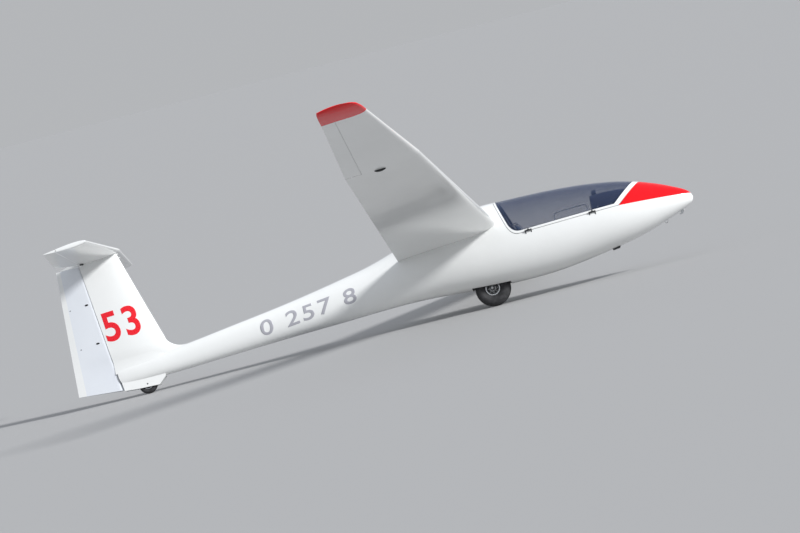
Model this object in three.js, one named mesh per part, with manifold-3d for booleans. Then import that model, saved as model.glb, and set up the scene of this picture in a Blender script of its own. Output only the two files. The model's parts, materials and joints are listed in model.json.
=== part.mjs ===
// A single-seat T-tailed sailplane of 15 m span, parked as such a glider parks: on its main wheel,
// its tail wheel and the tip of its port wing.
//
// Millimetres. It is laid out level first: +X forward from the main axle, +Y to port, +Z up from the
// line that both wheels stand on. The whole airframe is then leaned over until three parts touch the
// floor, and moved so that the origin is under the middle of its bounding box.

import * as THREE from "three";
import { mergeVertices } from "three/addons/utils/BufferGeometryUtils.js";
import Module from "manifold-3d";

const wasm = await Module();
wasm.setup();

// Driving dimensions
const SPAN = 15000;
const DIHEDRAL = THREE.MathUtils.degToRad(3.6);
const WALL = 20; // cockpit wall, laminate and lining together
const FRAME_WALL = 24; // canopy frame
const GLASS = 6;
const SEAT_GAP = 0.3; // between two pieces that touch
const MOVE_GAP = 5; // between pieces that move past each other
const SHORT_EDGE = 0.01; // too short to be worth keeping

const MAIN_AXLE_Z = 185;
const MAIN_TYRE_R = 185;
const MAIN_TYRE_W = 130;
const TAIL_AXLE_X = -3714;
const TAIL_AXLE_Z = 100;
const TAIL_TYRE_R = 100;
const TAIL_TYRE_W = 56;
const MAIN_AXLE_R = 12;
const TAIL_AXLE_R = 8;
// Tread to bead over one half of each tyre. Columns: distance in from the tread, share of the half width
const MAIN_TYRE = [
  [0, 0],
  [3, 0.3],
  [12, 0.62],
  [30, 0.9],
  [55, 1],
  [82, 0.9],
  [108, 0.72],
];
const TAIL_TYRE = [
  [0, 0],
  [2, 0.4],
  [9, 0.78],
  [22, 1],
  [40, 0.86],
  [48, 0.6],
];
// Hub and disc over one half of each wheel. Columns: radius, y
const MAIN_RIM = [
  [MAIN_AXLE_R + SEAT_GAP, 52],
  [34, 52],
  [34, 30],
  [58, 24],
];
const MAIN_RIM_EDGE = { width: 46, lip: 12 };
const TAIL_RIM = [
  [TAIL_AXLE_R + SEAT_GAP, 24],
  [20, 24],
  [24, 10],
];
const TAIL_RIM_EDGE = { width: 16, lip: 6 };
const FORK = { y1: 74, y2: 84, halfTop: 42, top: 424 };
// Tail wheel fairing seen from the side
const TAIL_FAIRING = [
  [-3508, 180],
  [-3508, 138],
  [-3590, 64],
  [-3806, 71],
  [-3985, 86],
  [-3985, 180],
];
const TAIL_FAIRING_Y = 44;

// Fuselage sections. Columns: x, top, bottom, half width, height of the widest point
const FUSELAGE = [
  [2214, 612, 588, 12, 600],
  [2198, 648, 556, 44, 601],
  [2140, 698, 521, 88, 607],
  [2040, 750, 479, 134, 613],
  [1880, 822, 422, 189, 620],
  [1700, 887, 364, 233, 622],
  [1500, 941, 314, 265, 622],
  [1280, 980, 274, 289, 620],
  [1000, 1012, 232, 306, 615],
  [700, 1030, 198, 314, 612],
  [400, 1037, 188, 316, 610],
  [100, 1041, 192, 311, 611],
  [-150, 1031, 203, 299, 610],
  [-400, 988, 222, 274, 600],
  [-650, 912, 238, 238, 575],
  [-900, 812, 243, 200, 532],
  [-1200, 722, 236, 170, 485],
  [-1550, 653, 222, 147, 441],
  [-2150, 552, 203, 117, 378],
  [-2750, 471, 178, 96, 324],
  [-3280, 403, 153, 82, 277],
  [-3650, 368, 140, 71, 252],
  [-3960, 345, 128, 52, 236],
  [-4080, 338, 122, 40, 230],
];
const FUSELAGE_POINTS = 28;
const FUSELAGE_POWER = 2.2; // 2 would be an ellipse, and more is squarer
const COCKPIT_REAR_X = 215;
const BULKHEAD_T = 14;
const COCKPIT_FRONT_X = 1960;
const BOOM_FRONT_X = -1100;
const BOOM_REAR_X = -3290;
const WELL = { x: 203, y: 100, top: 425 }; // main wheel well
const TAIL_WELL = { x: 116, y: 33, top: 218 };

// Fin and rudder together. Columns: z, leading edge x, trailing edge x, thickness over chord
const FIN = [
  [60, -3262, -4455, 0.08],
  [380, -3262, -4442, 0.085],
  [410, -3305, -4441, 0.09],
  [440, -3362, -4440, 0.1],
  [480, -3408, -4438, 0.11],
  [560, -3440, -4434, 0.115],
  [700, -3485, -4428, 0.12],
  [1530, -3744, -4392, 0.12],
];
const RUDDER_HINGE_Z = [330, 632, 1049];
const ELEVATOR_HINGE_Y = [-1000, -330, 330, 1000];
const LUG = { thickness: 8, bossR: 12, pinR: 5, root: 8 };
const FIN_FOOT_Z = 240; // inside the tail boom
const RUDDER_LOW = { x: -4011, z: 169, r: 52 };
const RUDDER_HIGH = { x: -4161, z: 1477, r: 30 };
const RUDDER_BOTTOM = { x1: -3900, z1: 86, x2: -4500, z2: 141 }; // the line that cuts it off below
const RUDDER_TOP_Z = 1457;
const TAIL_FAR_X = -4700; // behind the whole tail
const TAIL_FAR_Y = 1600; // beyond the tailplane's tips
const BESIDE = 400; // beyond the fuselage on either side

// Tailplane. Columns: |y|, leading edge x, trailing edge x, thickness over chord
const TAILPLANE = [
  [0, -3691, -4390, 0.12],
  [1220, -3795, -4262, 0.108],
  [1265, -3804, -4259, 0.1],
  [1280, -3822, -4256, 0.075],
];
const TAILPLANE_Z = 1534; // at the leading edge, on the centre line
const TAILPLANE_DROP = 0.07; // every chord falls this much over its length
const ELEVATOR_X = -4140;
const ELEVATOR_ROOT_R = 31.5;
const ELEVATOR_TIP_R = 18.5;
// The elevator's cut-out over the rudder: from this far behind its hinge line, between these half widths
const NOTCH = { behind: 18, hingeY: 56, endX: -4480, endY: 205 };

// Wing half, laid flat. Columns: y, leading edge x, trailing edge x, thickness over chord
const WING = [
  [180, 213, -871, 0.158],
  [4660, 97, -655, 0.155],
  [7050, -25, -462, 0.15],
];
const WING_ROOT_Z = 794; // height of the leading edge at the centre line
const WING_INCIDENCE = THREE.MathUtils.degToRad(7.0); // from the line the wheels stand on
const WING_CAMBER = 0.03;
const WING_FAR_X = -1300; // behind the whole wing
const AILERON_IN_Y = 4660;
const TIP_CAP_Y = 7050;
const AILERON_CHORD_IN = 150;
const AILERON_CHORD_OUT = 118;
// Rounded tip. Columns: y, leading edge x, trailing edge x, thickness over chord
const TIP_CAP = [
  [TIP_CAP_Y + SEAT_GAP, -25, -462, 0.15],
  [7300, -44, -446, 0.135],
  [7420, -70, -437, 0.1],
  [7480, -112, -430, 0.055],
  [SPAN / 2 / Math.cos(DIHEDRAL), -180, -422, 0.02],
];
// Oval bulge under each wing, over the aileron's bell crank, in the flat wing's frame
const CRANK_FAIRING = { x: -310, y: 4640, z: -80, halfLength: 58, halfWidth: 21, halfHeight: 22 };
const BRAKE = { y1: 2450, y2: 3650, x: -330, width: 60, cap: 9, blade: 14, bottom: -66 };

// Canopy opening seen from the side: the lines that its edges run along
const CANOPY_REAR = { x1: 203, z1: 1040, x2: 298, z2: 750 };
const CANOPY_SILL = { x1: 390, z1: 629, x2: 1476, z2: 666 };
const CANOPY_FRONT = { x1: 1476, z1: 666, x2: 1722, z2: 886 };
const ABOVE_ALL = 1200;
// Sliding window in the port side of the canopy. Columns: x, z, and which way is inwards along each
const WINDOW = [
  [760, 735, 1, 1],
  [1110, 745, -1, 1],
  [1110, 830, -1, -1],
  [760, 820, 1, -1],
];
const CANOPY_HINGE = [
  { x: 520, y: -328, z: 641 },
  { x: 1198, y: -307, z: 664 },
];

// Seat seen from the side, from under the knees, down to the hips and up the back. The pan's skin is
// below and behind this line, and the cushions lie on it.
const SEAT_PATH = [
  [1185, 394],
  [1060, 352],
  [935, 302],
  [810, 264],
  [700, 262],
  [622, 305],
  [530, 445],
  [440, 600],
  [368, 745],
];
const SEAT_SKIN = 8;
const SEAT_SHOULDER_Z = 600; // above this the pan is narrower, to stay clear of the canopy
const SEAT_TOP_Y = 215;
const HEADREST_X = COCKPIT_REAR_X + BULKHEAD_T + SEAT_GAP;

// Glare shield sections. Columns: x, half width, base height, top height
const SHIELD = [
  [1195, 206, 700, 860],
  [1330, 206, 700, 864],
  [1480, 190, 694, 856],
  [1630, 160, 690, 836],
];
const SHIELD_SKIN = 5;
const SHIELD_STEPS = 14;
const SHIELD_POWER = 0.7; // 1 would be a half ellipse, and less is squarer
const PANEL_X = 1205;
const PANEL_T = 14;
// Port edge of the panel below the shield. Columns: y, z
const PANEL_NECK = [
  [190, 704],
  [150, 640],
  [88, 560],
  [72, 505],
];
const DIALS = [
  { y: 78, z: 778, r: 40 },
  { y: -78, z: 778, r: 40 },
  { y: 0, z: 690, r: 40 },
  { y: 88, z: 684, r: 29 },
  { y: -88, z: 684, r: 29 },
];
const STICK_R = 9;
const CONSOLE_TOP_Z = 456;
// Rudder pedal seen from the side, standing on its bar
const PEDAL = [
  [1681, 422.3],
  [1699, 422.3],
  [1735, 548],
  [1723, 556],
  [1712, 552],
];
// Tow hooks seen from the side
const NOSE_HOOK = [
  [2092, 520],
  [2092, 478],
  [2078, 458],
  [2046, 452],
  [2040, 462],
  [2058, 468],
  [2062, 520],
];
const BELLY_HOOK = [
  [1288, 310],
  [1294, 262],
  [1366, 271],
  [1384, 310],
];

const white = new THREE.MeshStandardMaterial({ color: 0xf2f3f0, roughness: 0.22 });
const red = new THREE.MeshStandardMaterial({ color: 0xe0202a, roughness: 0.25 });
const clear = new THREE.MeshStandardMaterial({
  color: 0x9fb4c8,
  roughness: 0.05,
  transparent: true,
  opacity: 0.35,
});
const rubber = new THREE.MeshStandardMaterial({ color: 0x17171a, roughness: 0.85 });
const alloy = new THREE.MeshStandardMaterial({ color: 0xb9bcc0, roughness: 0.35, metalness: 0.9 });
const steel = new THREE.MeshStandardMaterial({ color: 0x8a8d90, roughness: 0.4, metalness: 0.9 });
const darkPaint = new THREE.MeshStandardMaterial({ color: 0x26292c, roughness: 0.7 });
const lining = new THREE.MeshStandardMaterial({ color: 0x8d9196, roughness: 0.8 });
const yellow = new THREE.MeshStandardMaterial({ color: 0xe8b820, roughness: 0.5 });
const blue = new THREE.MeshStandardMaterial({ color: 0x1f58b8, roughness: 0.5 });
const green = new THREE.MeshStandardMaterial({ color: 0x2c8a45, roughness: 0.5 });
const cushionCloth = new THREE.MeshStandardMaterial({ color: 0x38455a, roughness: 0.95 });

// Solids

function solidOf(geometry) {
  const bare = geometry.clone();
  for (const name of ["normal", "uv"]) bare.deleteAttribute(name);
  const merged = mergeVertices(bare, 1e-3);
  return new wasm.Manifold(
    new wasm.Mesh({
      numProp: 3,
      vertProperties: new Float32Array(merged.attributes.position.array),
      triVerts: new Uint32Array(merged.index.array),
    }),
  );
}

// The triangles without their shortest edges, which a cut leaves where it passes almost through a vertex.
// The two ends of such an edge become one, and the triangles beside it go.
function withoutShortEdges(positions, triVerts) {
  const kept = Array.from({ length: positions.length / 3 }, (_, i) => i);
  const end = (i) => (kept[i] === i ? i : end(kept[i]));
  const point = (i) => new THREE.Vector3().fromArray(positions, 3 * i);
  for (let i = 0; i < triVerts.length; i++) {
    const next = i % 3 === 2 ? i - 2 : i + 1;
    const [a, b] = [end(triVerts[i]), end(triVerts[next])];
    if (a !== b && point(a).distanceTo(point(b)) < SHORT_EDGE) kept[Math.max(a, b)] = Math.min(a, b);
  }
  const triangles = [];
  for (let i = 0; i < triVerts.length; i += 3) {
    const [a, b, c] = [0, 1, 2].map((k) => end(triVerts[i + k]));
    if (a !== b && b !== c && c !== a) triangles.push(a, b, c);
  }
  return triangles;
}

function geometryOf(solid) {
  const mesh = solid.getMesh();
  const geometry = new THREE.BufferGeometry();
  geometry.setAttribute("position", new THREE.BufferAttribute(new Float32Array(mesh.vertProperties), 3));
  geometry.setIndex(withoutShortEdges(mesh.vertProperties, mesh.triVerts));
  geometry.computeVertexNormals();
  return geometry;
}

// The solid with every vertex moved by a matrix, turned right side out again if the matrix mirrors.
function moved(solid, matrix) {
  const mesh = solid.getMesh();
  const positions = new THREE.BufferAttribute(new Float32Array(mesh.vertProperties), 3).applyMatrix4(matrix);
  const triVerts = new Uint32Array(mesh.triVerts);
  if (matrix.determinant() < 0) {
    for (let i = 0; i < triVerts.length; i += 3) {
      [triVerts[i + 1], triVerts[i + 2]] = [triVerts[i + 2], triVerts[i + 1]];
    }
  }
  return new wasm.Manifold(new wasm.Mesh({ numProp: 3, vertProperties: positions.array, triVerts }));
}

const shifted = (solid, x, y, z) => moved(solid, new THREE.Matrix4().makeTranslation(x, y, z));
const acrossCentre = (solid) => moved(solid, new THREE.Matrix4().makeScale(1, -1, 1));

// A skin over rings of points, closed by a fan at each end.
function loft(rings) {
  const count = rings[0].length;
  const points = rings.flat();
  const triangles = [];
  for (let ring = 0; ring + 1 < rings.length; ring++) {
    for (let i = 0; i < count; i++) {
      const [a, b] = [ring * count + i, ring * count + ((i + 1) % count)];
      triangles.push(a, b, b + count, a, b + count, a + count);
    }
  }
  for (const [ring, first] of [[rings[0], 0], [rings.at(-1), (rings.length - 1) * count]]) {
    const middle = ring.reduce((sum, p) => sum.add(p), new THREE.Vector3()).divideScalar(count);
    points.push(middle);
    for (let i = 0; i < count; i++) {
      const [a, b] = [first + i, first + ((i + 1) % count)];
      triangles.push(points.length - 1, ...(first ? [a, b] : [b, a]));
    }
  }
  const build = (order) =>
    new wasm.Manifold(
      new wasm.Mesh({
        numProp: 3,
        vertProperties: new Float32Array(points.flatMap((p) => p.toArray())),
        triVerts: new Uint32Array(order),
      }),
    );
  const made = build(triangles);
  return made.volume() > 0 ? made : build(triangles.toReversed());
}

// A side-view outline (x, z) carried from y1 to y2.
function sidePrism(shape, y1, y2, curveSegments = 6) {
  const geometry = new THREE.ExtrudeGeometry(shape, { depth: y2 - y1, bevelEnabled: false, curveSegments });
  return solidOf(geometry.rotateX(Math.PI / 2).translate(0, y2, 0));
}

// A plan-view outline (x, y) carried from z1 to z2.
function planPrism(points, z1, z2) {
  const shape = new THREE.Shape(points.map(([x, y]) => new THREE.Vector2(x, y)));
  const geometry = new THREE.ExtrudeGeometry(shape, { depth: z2 - z1, bevelEnabled: false });
  return solidOf(geometry.translate(0, 0, z1));
}

const sideOutline = (points) => new THREE.Shape(points.map(([x, z]) => new THREE.Vector2(x, z)));

function box(x1, x2, y1, y2, z1, z2) {
  const geometry = new THREE.BoxGeometry(x2 - x1, y2 - y1, z2 - z1);
  return solidOf(geometry.translate((x1 + x2) / 2, (y1 + y2) / 2, (z1 + z2) / 2));
}

// A round bar, or a cone, from one point to another.
function bar(from, to, r1, r2 = r1, segments = 20) {
  const [a, b] = [new THREE.Vector3(...from), new THREE.Vector3(...to)];
  const geometry = new THREE.CylinderGeometry(r2, r1, a.distanceTo(b), segments);
  const turn = new THREE.Quaternion().setFromUnitVectors(
    new THREE.Vector3(0, 1, 0),
    b.clone().sub(a).normalize(),
  );
  return solidOf(geometry.applyQuaternion(turn).translate(...a.add(b).multiplyScalar(0.5).toArray()));
}

// A turned piece about an axle along Y. Profile points: radius, y.
function turned(profile, x, z, segments = 36) {
  const closed = [...profile, profile[0]].map(([r, y]) => new THREE.Vector2(r, y));
  return solidOf(new THREE.LatheGeometry(closed, segments).translate(x, 0, z));
}

// A side-view outline between two offsets, low and high, from a path of points.
function alongPath(path, low, high, first = 0, last = path.length - 1) {
  const edge = (offset) =>
    path
      .map((p, i) => {
        const before = path[Math.max(i - 1, 0)];
        const after = path[Math.min(i + 1, path.length - 1)];
        const along = new THREE.Vector2(after[0] - before[0], after[1] - before[1]).normalize();
        return [p[0] + along.y * offset, p[1] - along.x * offset];
      })
      .slice(first, last + 1);
  return sideOutline([...edge(high), ...edge(low).reverse()]);
}

// A front-view outline (y, z) carried from x1 to x2.
function frontPrism(points, x1, x2) {
  const shape = new THREE.Shape(points.map(([y, z]) => new THREE.Vector2(y, z)));
  const geometry = new THREE.ExtrudeGeometry(shape, { depth: x2 - x1, bevelEnabled: false });
  const upright = new THREE.Matrix4().set(0, 0, 1, x1, 1, 0, 0, 0, 0, 1, 0, 0, 0, 0, 0, 1);
  return solidOf(geometry.applyMatrix4(upright));
}

// Sections

function fuselageRing([x, top, bottom, halfWidth, waist], inset) {
  const bent = (v) => Math.sign(v) * Math.abs(v) ** (2 / FUSELAGE_POWER);
  return Array.from({ length: FUSELAGE_POINTS }, (_, i) => {
    const angle = (2 * Math.PI * i) / FUSELAGE_POINTS;
    const height = Math.sin(angle) > 0 ? top - inset - waist : waist - bottom - inset;
    const y = (halfWidth - inset) * bent(Math.cos(angle));
    return new THREE.Vector3(x, y, waist + height * bent(Math.sin(angle)));
  });
}

// The outside shape of the fuselage, canopy included, or the same shape drawn in by an inset.
function fuselageBody(inset = 0) {
  const rows = FUSELAGE.filter((row) => row[3] - inset > 10);
  return loft(rows.map((row) => fuselageRing(row, inset)));
}

const SECTION_STEPS = 12;
const TRAILING_EDGE = 2; // half thickness

// Half thickness of a wing section over its chord, by the four-digit formula.
function halfThickness(s, ratio) {
  const quartic = -0.126 * s - 0.3516 * s ** 2 + 0.2843 * s ** 3 - 0.1036 * s ** 4;
  return 5 * ratio * (0.2969 * Math.sqrt(s) + quartic);
}

const camberLine = (s, camber) => 4 * camber * s * (1 - s);

// Points round a section: over the top from the trailing edge, and back below. Each is
// { along: share of the chord, out: offset square to the chord in millimetres }.
function section(chord, ratio, camber) {
  const share = (_, i) => (1 - Math.cos((Math.PI * i) / SECTION_STEPS)) / 2;
  const steps = Array.from({ length: SECTION_STEPS + 1 }, share);
  const at = (s, side) => ({
    along: s,
    out: chord * (camberLine(s, camber) + side * halfThickness(s, ratio)) + side * TRAILING_EDGE * s,
  });
  return [...steps.toReversed().map((s) => at(s, 1)), ...steps.slice(1).map((s) => at(s, -1))];
}

function wingRing([y, front, rear, ratio]) {
  const chord = front - rear;
  return section(chord, ratio, WING_CAMBER).map(
    ({ along, out }) =>
      new THREE.Vector3(front - chord * along, y, out - chord * along * Math.sin(WING_INCIDENCE)),
  );
}

const tailplaneMiddle = (x) => TAILPLANE_Z - (TAILPLANE[0][1] - x) * TAILPLANE_DROP;

function tailplaneRing([y, front, rear, ratio]) {
  const chord = front - rear;
  return section(chord, ratio, 0).map(({ along, out }) => {
    const x = front - chord * along;
    return new THREE.Vector3(x, y, tailplaneMiddle(x) + out);
  });
}

function finRing([z, front, rear, ratio]) {
  const chord = front - rear;
  return section(chord, ratio, 0).map(({ along, out }) => new THREE.Vector3(front - chord * along, out, z));
}

// Pieces

const group = new THREE.Group();
group.name = "sailplane";
const airframe = new THREE.Group();
airframe.name = "airframe";
group.add(airframe);

function piece(name, solid, material, parent = airframe) {
  const mesh = new THREE.Mesh(geometryOf(solid), material);
  mesh.name = name;
  airframe.add(mesh);
  if (parent !== airframe) parent.attach(mesh);
  return mesh;
}

// A moving assembly: a group at its hinge or slide, with its local Z along the axis.
function pivot(name, at, axis) {
  const made = new THREE.Group();
  made.name = name;
  made.position.set(...at);
  made.quaternion.setFromUnitVectors(new THREE.Vector3(0, 0, 1), new THREE.Vector3(...axis).normalize());
  airframe.add(made);
  airframe.updateMatrixWorld(true);
  return made;
}

const outside = fuselageBody();
const outsideGrown = fuselageBody(-SEAT_GAP);
const cockpitRoom = box(COCKPIT_REAR_X, COCKPIT_FRONT_X, -BESIDE, BESIDE, 0, ABOVE_ALL);
const inside = fuselageBody(WALL).intersect(cockpitRoom);
const linedInside = fuselageBody(WALL + SEAT_GAP);

const fuselageSlice = (x1, x2) => outside.intersect(box(x1, x2, -BESIDE, BESIDE, 0, ABOVE_ALL));

// The canopy opening's outline, each edge drawn inwards by its own amount, square to the edge.
function canopyOutline(rearIn, sillIn, frontIn) {
  const rearLean = (CANOPY_REAR.x2 - CANOPY_REAR.x1) / (CANOPY_REAR.z1 - CANOPY_REAR.z2);
  const sillRise = (CANOPY_SILL.z2 - CANOPY_SILL.z1) / (CANOPY_SILL.x2 - CANOPY_SILL.x1);
  const frontLean = (CANOPY_FRONT.x2 - CANOPY_FRONT.x1) / (CANOPY_FRONT.z2 - CANOPY_FRONT.z1);
  const level = (inwards, lean) => inwards * Math.hypot(1, lean);
  const rearX = (z) => CANOPY_REAR.x2 + level(rearIn, rearLean) + (CANOPY_REAR.z2 - z) * rearLean;
  const sillZ = (x) => CANOPY_SILL.z1 + level(sillIn, sillRise) + (x - CANOPY_SILL.x1) * sillRise;
  const frontX = (z) => CANOPY_FRONT.x1 - level(frontIn, frontLean) + (z - CANOPY_FRONT.z1) * frontLean;
  const cornerZ = 762 + sillIn / 2;
  const cornerX = 418 + rearIn;
  const frontCornerX = frontX(sillZ(frontX(CANOPY_FRONT.z1)));
  const shape = new THREE.Shape();
  shape.moveTo(rearX(ABOVE_ALL), ABOVE_ALL);
  shape.lineTo(rearX(cornerZ), cornerZ);
  shape.quadraticCurveTo(rearX(sillZ(cornerX)) - 6, sillZ(cornerX), cornerX, sillZ(cornerX));
  shape.lineTo(frontCornerX, sillZ(frontCornerX));
  shape.lineTo(frontX(ABOVE_ALL), ABOVE_ALL);
  return shape;
}
const canopyPrism = (rearIn, sillIn, frontIn) =>
  sidePrism(canopyOutline(rearIn, sillIn, frontIn), -BESIDE, BESIDE);

const FRAME_GAP = MOVE_GAP + 0.3;
const FRAME_REAR = 24;
const FRAME_SILL = 28;
const FRAME_FRONT = 56;

function fuselagePieces() {
  const opening = canopyPrism(0, 0, 0);
  const shell = fuselageSlice(COCKPIT_REAR_X + SEAT_GAP, 2300).subtract(inside).subtract(opening);
  piece("cockpit_shell", shell, white);

  const well = box(-WELL.x, WELL.x, -WELL.y, WELL.y, 100, WELL.top);
  const centre = fuselageSlice(BOOM_FRONT_X + SEAT_GAP, COCKPIT_REAR_X).subtract(well).subtract(opening);
  piece("centre_fuselage", centre, white);
  piece("tail_boom", fuselageSlice(BOOM_REAR_X + SEAT_GAP, BOOM_FRONT_X), white);

  const bulkhead = linedInside
    .intersect(
      box(COCKPIT_REAR_X + SEAT_GAP, COCKPIT_REAR_X + BULKHEAD_T, -BESIDE, BESIDE, 0, ABOVE_ALL),
    )
    .subtract(opening);
  piece("rear_bulkhead", bulkhead, lining);
}

// A hinge on a surface's nose: a lug that reaches back from the fixed part, and the pin through it.
// forward points from the hinge line into the fixed part, and noseR is the surface's radius there.
function noseHinge(at, axis, forward, noseR) {
  const centre = new THREE.Vector3(...at);
  const on = (along, ahead = 0) =>
    centre.clone().addScaledVector(axis, along).addScaledVector(forward, ahead).toArray();
  const half = LUG.thickness / 2;
  const reach = noseR + MOVE_GAP + LUG.root;
  const arm = bar(on(0), on(0, reach), half, half, 12);
  const bore = bar(on(-half - 1), on(half + 1), LUG.pinR + SEAT_GAP, LUG.pinR + SEAT_GAP, 16);
  return {
    lug: bar(on(-half), on(half), LUG.bossR, LUG.bossR, 16).add(arm).subtract(bore),
    slot: bar(on(-half - MOVE_GAP), on(half + MOVE_GAP), noseR + 3, noseR + 3, 28),
    pin: bar(on(-half - MOVE_GAP - 6), on(half + MOVE_GAP + 6), LUG.pinR, LUG.pinR, 16),
  };
}

// What a control surface takes out of its fixed part: a cone round the hinge, and all behind it.
function surfaceTool(low, high, r1, r2, gap, behind) {
  return bar(low, high, r1 + gap, r2 + gap, 28).add(behind);
}

function tailPieces() {
  const finBody = loft(FIN.map(finRing));
  const axis = new THREE.Vector3(RUDDER_HIGH.x - RUDDER_LOW.x, 0, RUDDER_HIGH.z - RUDDER_LOW.z).normalize();
  const lean = axis.x / axis.z;
  const hingeX = (z) => RUDDER_LOW.x + (z - RUDDER_LOW.z) * lean;
  const taper = (RUDDER_HIGH.r - RUDDER_LOW.r) / (RUDDER_HIGH.z - RUDDER_LOW.z);
  const radius = (z) => RUDDER_LOW.r + (z - RUDDER_LOW.z) * taper;
  const rudderTool = (gap) =>
    surfaceTool(
      [hingeX(40), 0, 40],
      [hingeX(1600), 0, 1600],
      radius(40),
      radius(1600),
      gap,
      sidePrism(
        sideOutline([
          [hingeX(20), 20],
          [hingeX(1620), 1620],
          [TAIL_FAR_X, 1620],
          [TAIL_FAR_X, 20],
        ]),
        -200,
        200,
      ),
    );

  const starboardHalf = TAILPLANE.slice(1).toReversed().map(([y, ...rest]) => [-y, ...rest]);
  const tailBody = loft([...starboardHalf, ...TAILPLANE].map(tailplaneRing));
  const elevatorZ = tailplaneMiddle(ELEVATOR_X);
  const tip = TAILPLANE[1][0];
  const tipR = (y) => ELEVATOR_ROOT_R + ((ELEVATOR_TIP_R - ELEVATOR_ROOT_R) * y) / tip;
  const elevatorCone = (side, gap) => {
    const far = [ELEVATOR_X, side * TAIL_FAR_Y, elevatorZ];
    return bar([ELEVATOR_X, 0, elevatorZ], far, tipR(0) + gap, tipR(TAIL_FAR_Y) + gap, 28);
  };
  const behindElevator = box(TAIL_FAR_X, ELEVATOR_X, -TAIL_FAR_Y, TAIL_FAR_Y, 1300, 1700);
  const elevatorTool = (gap) => elevatorCone(1, gap).add(elevatorCone(-1, gap)).add(behindElevator);

  const belowRudder = sideOutline([
    [RUDDER_BOTTOM.x1, RUDDER_BOTTOM.z1],
    [RUDDER_BOTTOM.x2, RUDDER_BOTTOM.z2],
    [TAIL_FAR_X, -100],
    [RUDDER_BOTTOM.x1, -100],
  ]);
  const wheelWell = box(
    TAIL_AXLE_X - TAIL_WELL.x,
    TAIL_AXLE_X + TAIL_WELL.x,
    -TAIL_WELL.y,
    TAIL_WELL.y,
    0,
    TAIL_WELL.top,
  );
  const tailplaneSeat = shifted(tailBody, 0, 0, -SEAT_GAP).add(shifted(tailBody, 0, 0, 40));
  const fin = fuselageSlice(-4300, BOOM_REAR_X)
    .add(finBody.intersect(box(TAIL_FAR_X, BOOM_REAR_X - 2, -200, 200, FIN_FOOT_Z, TAILPLANE_Z - 4)))
    .subtract(rudderTool(MOVE_GAP))
    .subtract(elevatorTool(MOVE_GAP + 4))
    .subtract(tailplaneSeat)
    .subtract(wheelWell);
  const rudderForward = new THREE.Vector3(axis.z, 0, -axis.x);
  const hingeAtHeight = (z) => noseHinge([hingeX(z), 0, z], axis, rudderForward, radius(z));
  const rudderHinges = RUDDER_HINGE_Z.map(hingeAtHeight);
  piece("fin", rudderHinges.reduce((body, { lug }) => body.add(lug), fin), white);

  const rudderHinge = pivot("rudder_hinge", [RUDDER_LOW.x, 0, RUDDER_LOW.z], axis.toArray());
  const rudder = finBody
    .intersect(rudderTool(0))
    .intersect(box(TAIL_FAR_X, -3700, -200, 200, 0, RUDDER_TOP_Z))
    .subtract(sidePrism(belowRudder, -200, 200));
  const pinned = (body, { slot, pin }) => body.subtract(slot).add(pin);
  piece("rudder", rudderHinges.reduce(pinned, rudder), white, rudderHinge);

  const elevatorAxis = new THREE.Vector3(0, 1, 0);
  const elevatorForward = new THREE.Vector3(1, 0, 0);
  const elevatorHinges = ELEVATOR_HINGE_Y.map((y) =>
    noseHinge([ELEVATOR_X, y, elevatorZ], elevatorAxis, elevatorForward, tipR(Math.abs(y))),
  );
  const stabilizer = tailBody.subtract(elevatorTool(MOVE_GAP));
  piece("stabilizer", elevatorHinges.reduce((body, { lug }) => body.add(lug), stabilizer), white);
  const notch = planPrism(
    [
      [ELEVATOR_X - NOTCH.behind, NOTCH.hingeY],
      [NOTCH.endX, NOTCH.endY],
      [NOTCH.endX, -NOTCH.endY],
      [ELEVATOR_X - NOTCH.behind, -NOTCH.hingeY],
    ],
    1300,
    1700,
  );
  const elevatorHinge = pivot("elevator_hinge", [ELEVATOR_X, 0, elevatorZ], [0, 1, 0]);
  const elevator = tailBody.intersect(elevatorTool(0)).subtract(notch);
  piece("elevator", elevatorHinges.reduce(pinned, elevator), white, elevatorHinge);

  // Tail wheel in its box-shaped fairing
  const fairingSide = sideOutline(TAIL_FAIRING);
  const holes = bar([TAIL_AXLE_X, -60, TAIL_AXLE_Z], [TAIL_AXLE_X, 60, TAIL_AXLE_Z], TAIL_AXLE_R + SEAT_GAP);
  const fairing = sidePrism(fairingSide, -TAIL_FAIRING_Y, TAIL_FAIRING_Y)
    .subtract(fuselageBody(-SEAT_GAP))
    .subtract(wheelWell)
    .subtract(rudderTool(MOVE_GAP + 1))
    .subtract(holes);
  piece("tail_wheel_fairing", fairing, white);
}

// Wing half in its flat frame, put in place for one side.
function placeWing(solid, side) {
  const raise = new THREE.Matrix4().makeRotationX(DIHEDRAL).setPosition(0, 0, WING_ROOT_Z);
  const port = moved(solid, raise);
  return side > 0 ? port : acrossCentre(port);
}

// A direction in the flat wing, as it lies on one side.
function alongWing(direction, side) {
  const placed = direction.clone().applyAxisAngle(new THREE.Vector3(1, 0, 0), DIHEDRAL);
  return placed.multiply(new THREE.Vector3(1, side, 1));
}

const onWing = (point, side) => alongWing(point, side).add(new THREE.Vector3(0, 0, WING_ROOT_Z));

// Where a section's mid line lies at one distance ahead of its trailing edge, and its half thickness.
function hingeSpot(y, aileronChord) {
  const [inner, outer] = [WING[1], WING[2]];
  const t = (y - inner[0]) / (outer[0] - inner[0]);
  const [front, rear, ratio] = [1, 2, 3].map((i) => inner[i] + (outer[i] - inner[i]) * t);
  const chord = front - rear;
  const s = 1 - aileronChord / chord;
  return {
    x: front - chord * s,
    z: chord * (camberLine(s, WING_CAMBER) - s * Math.sin(WING_INCIDENCE)),
    r: chord * halfThickness(s, ratio) + TRAILING_EDGE * s + 0.6,
  };
}

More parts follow.
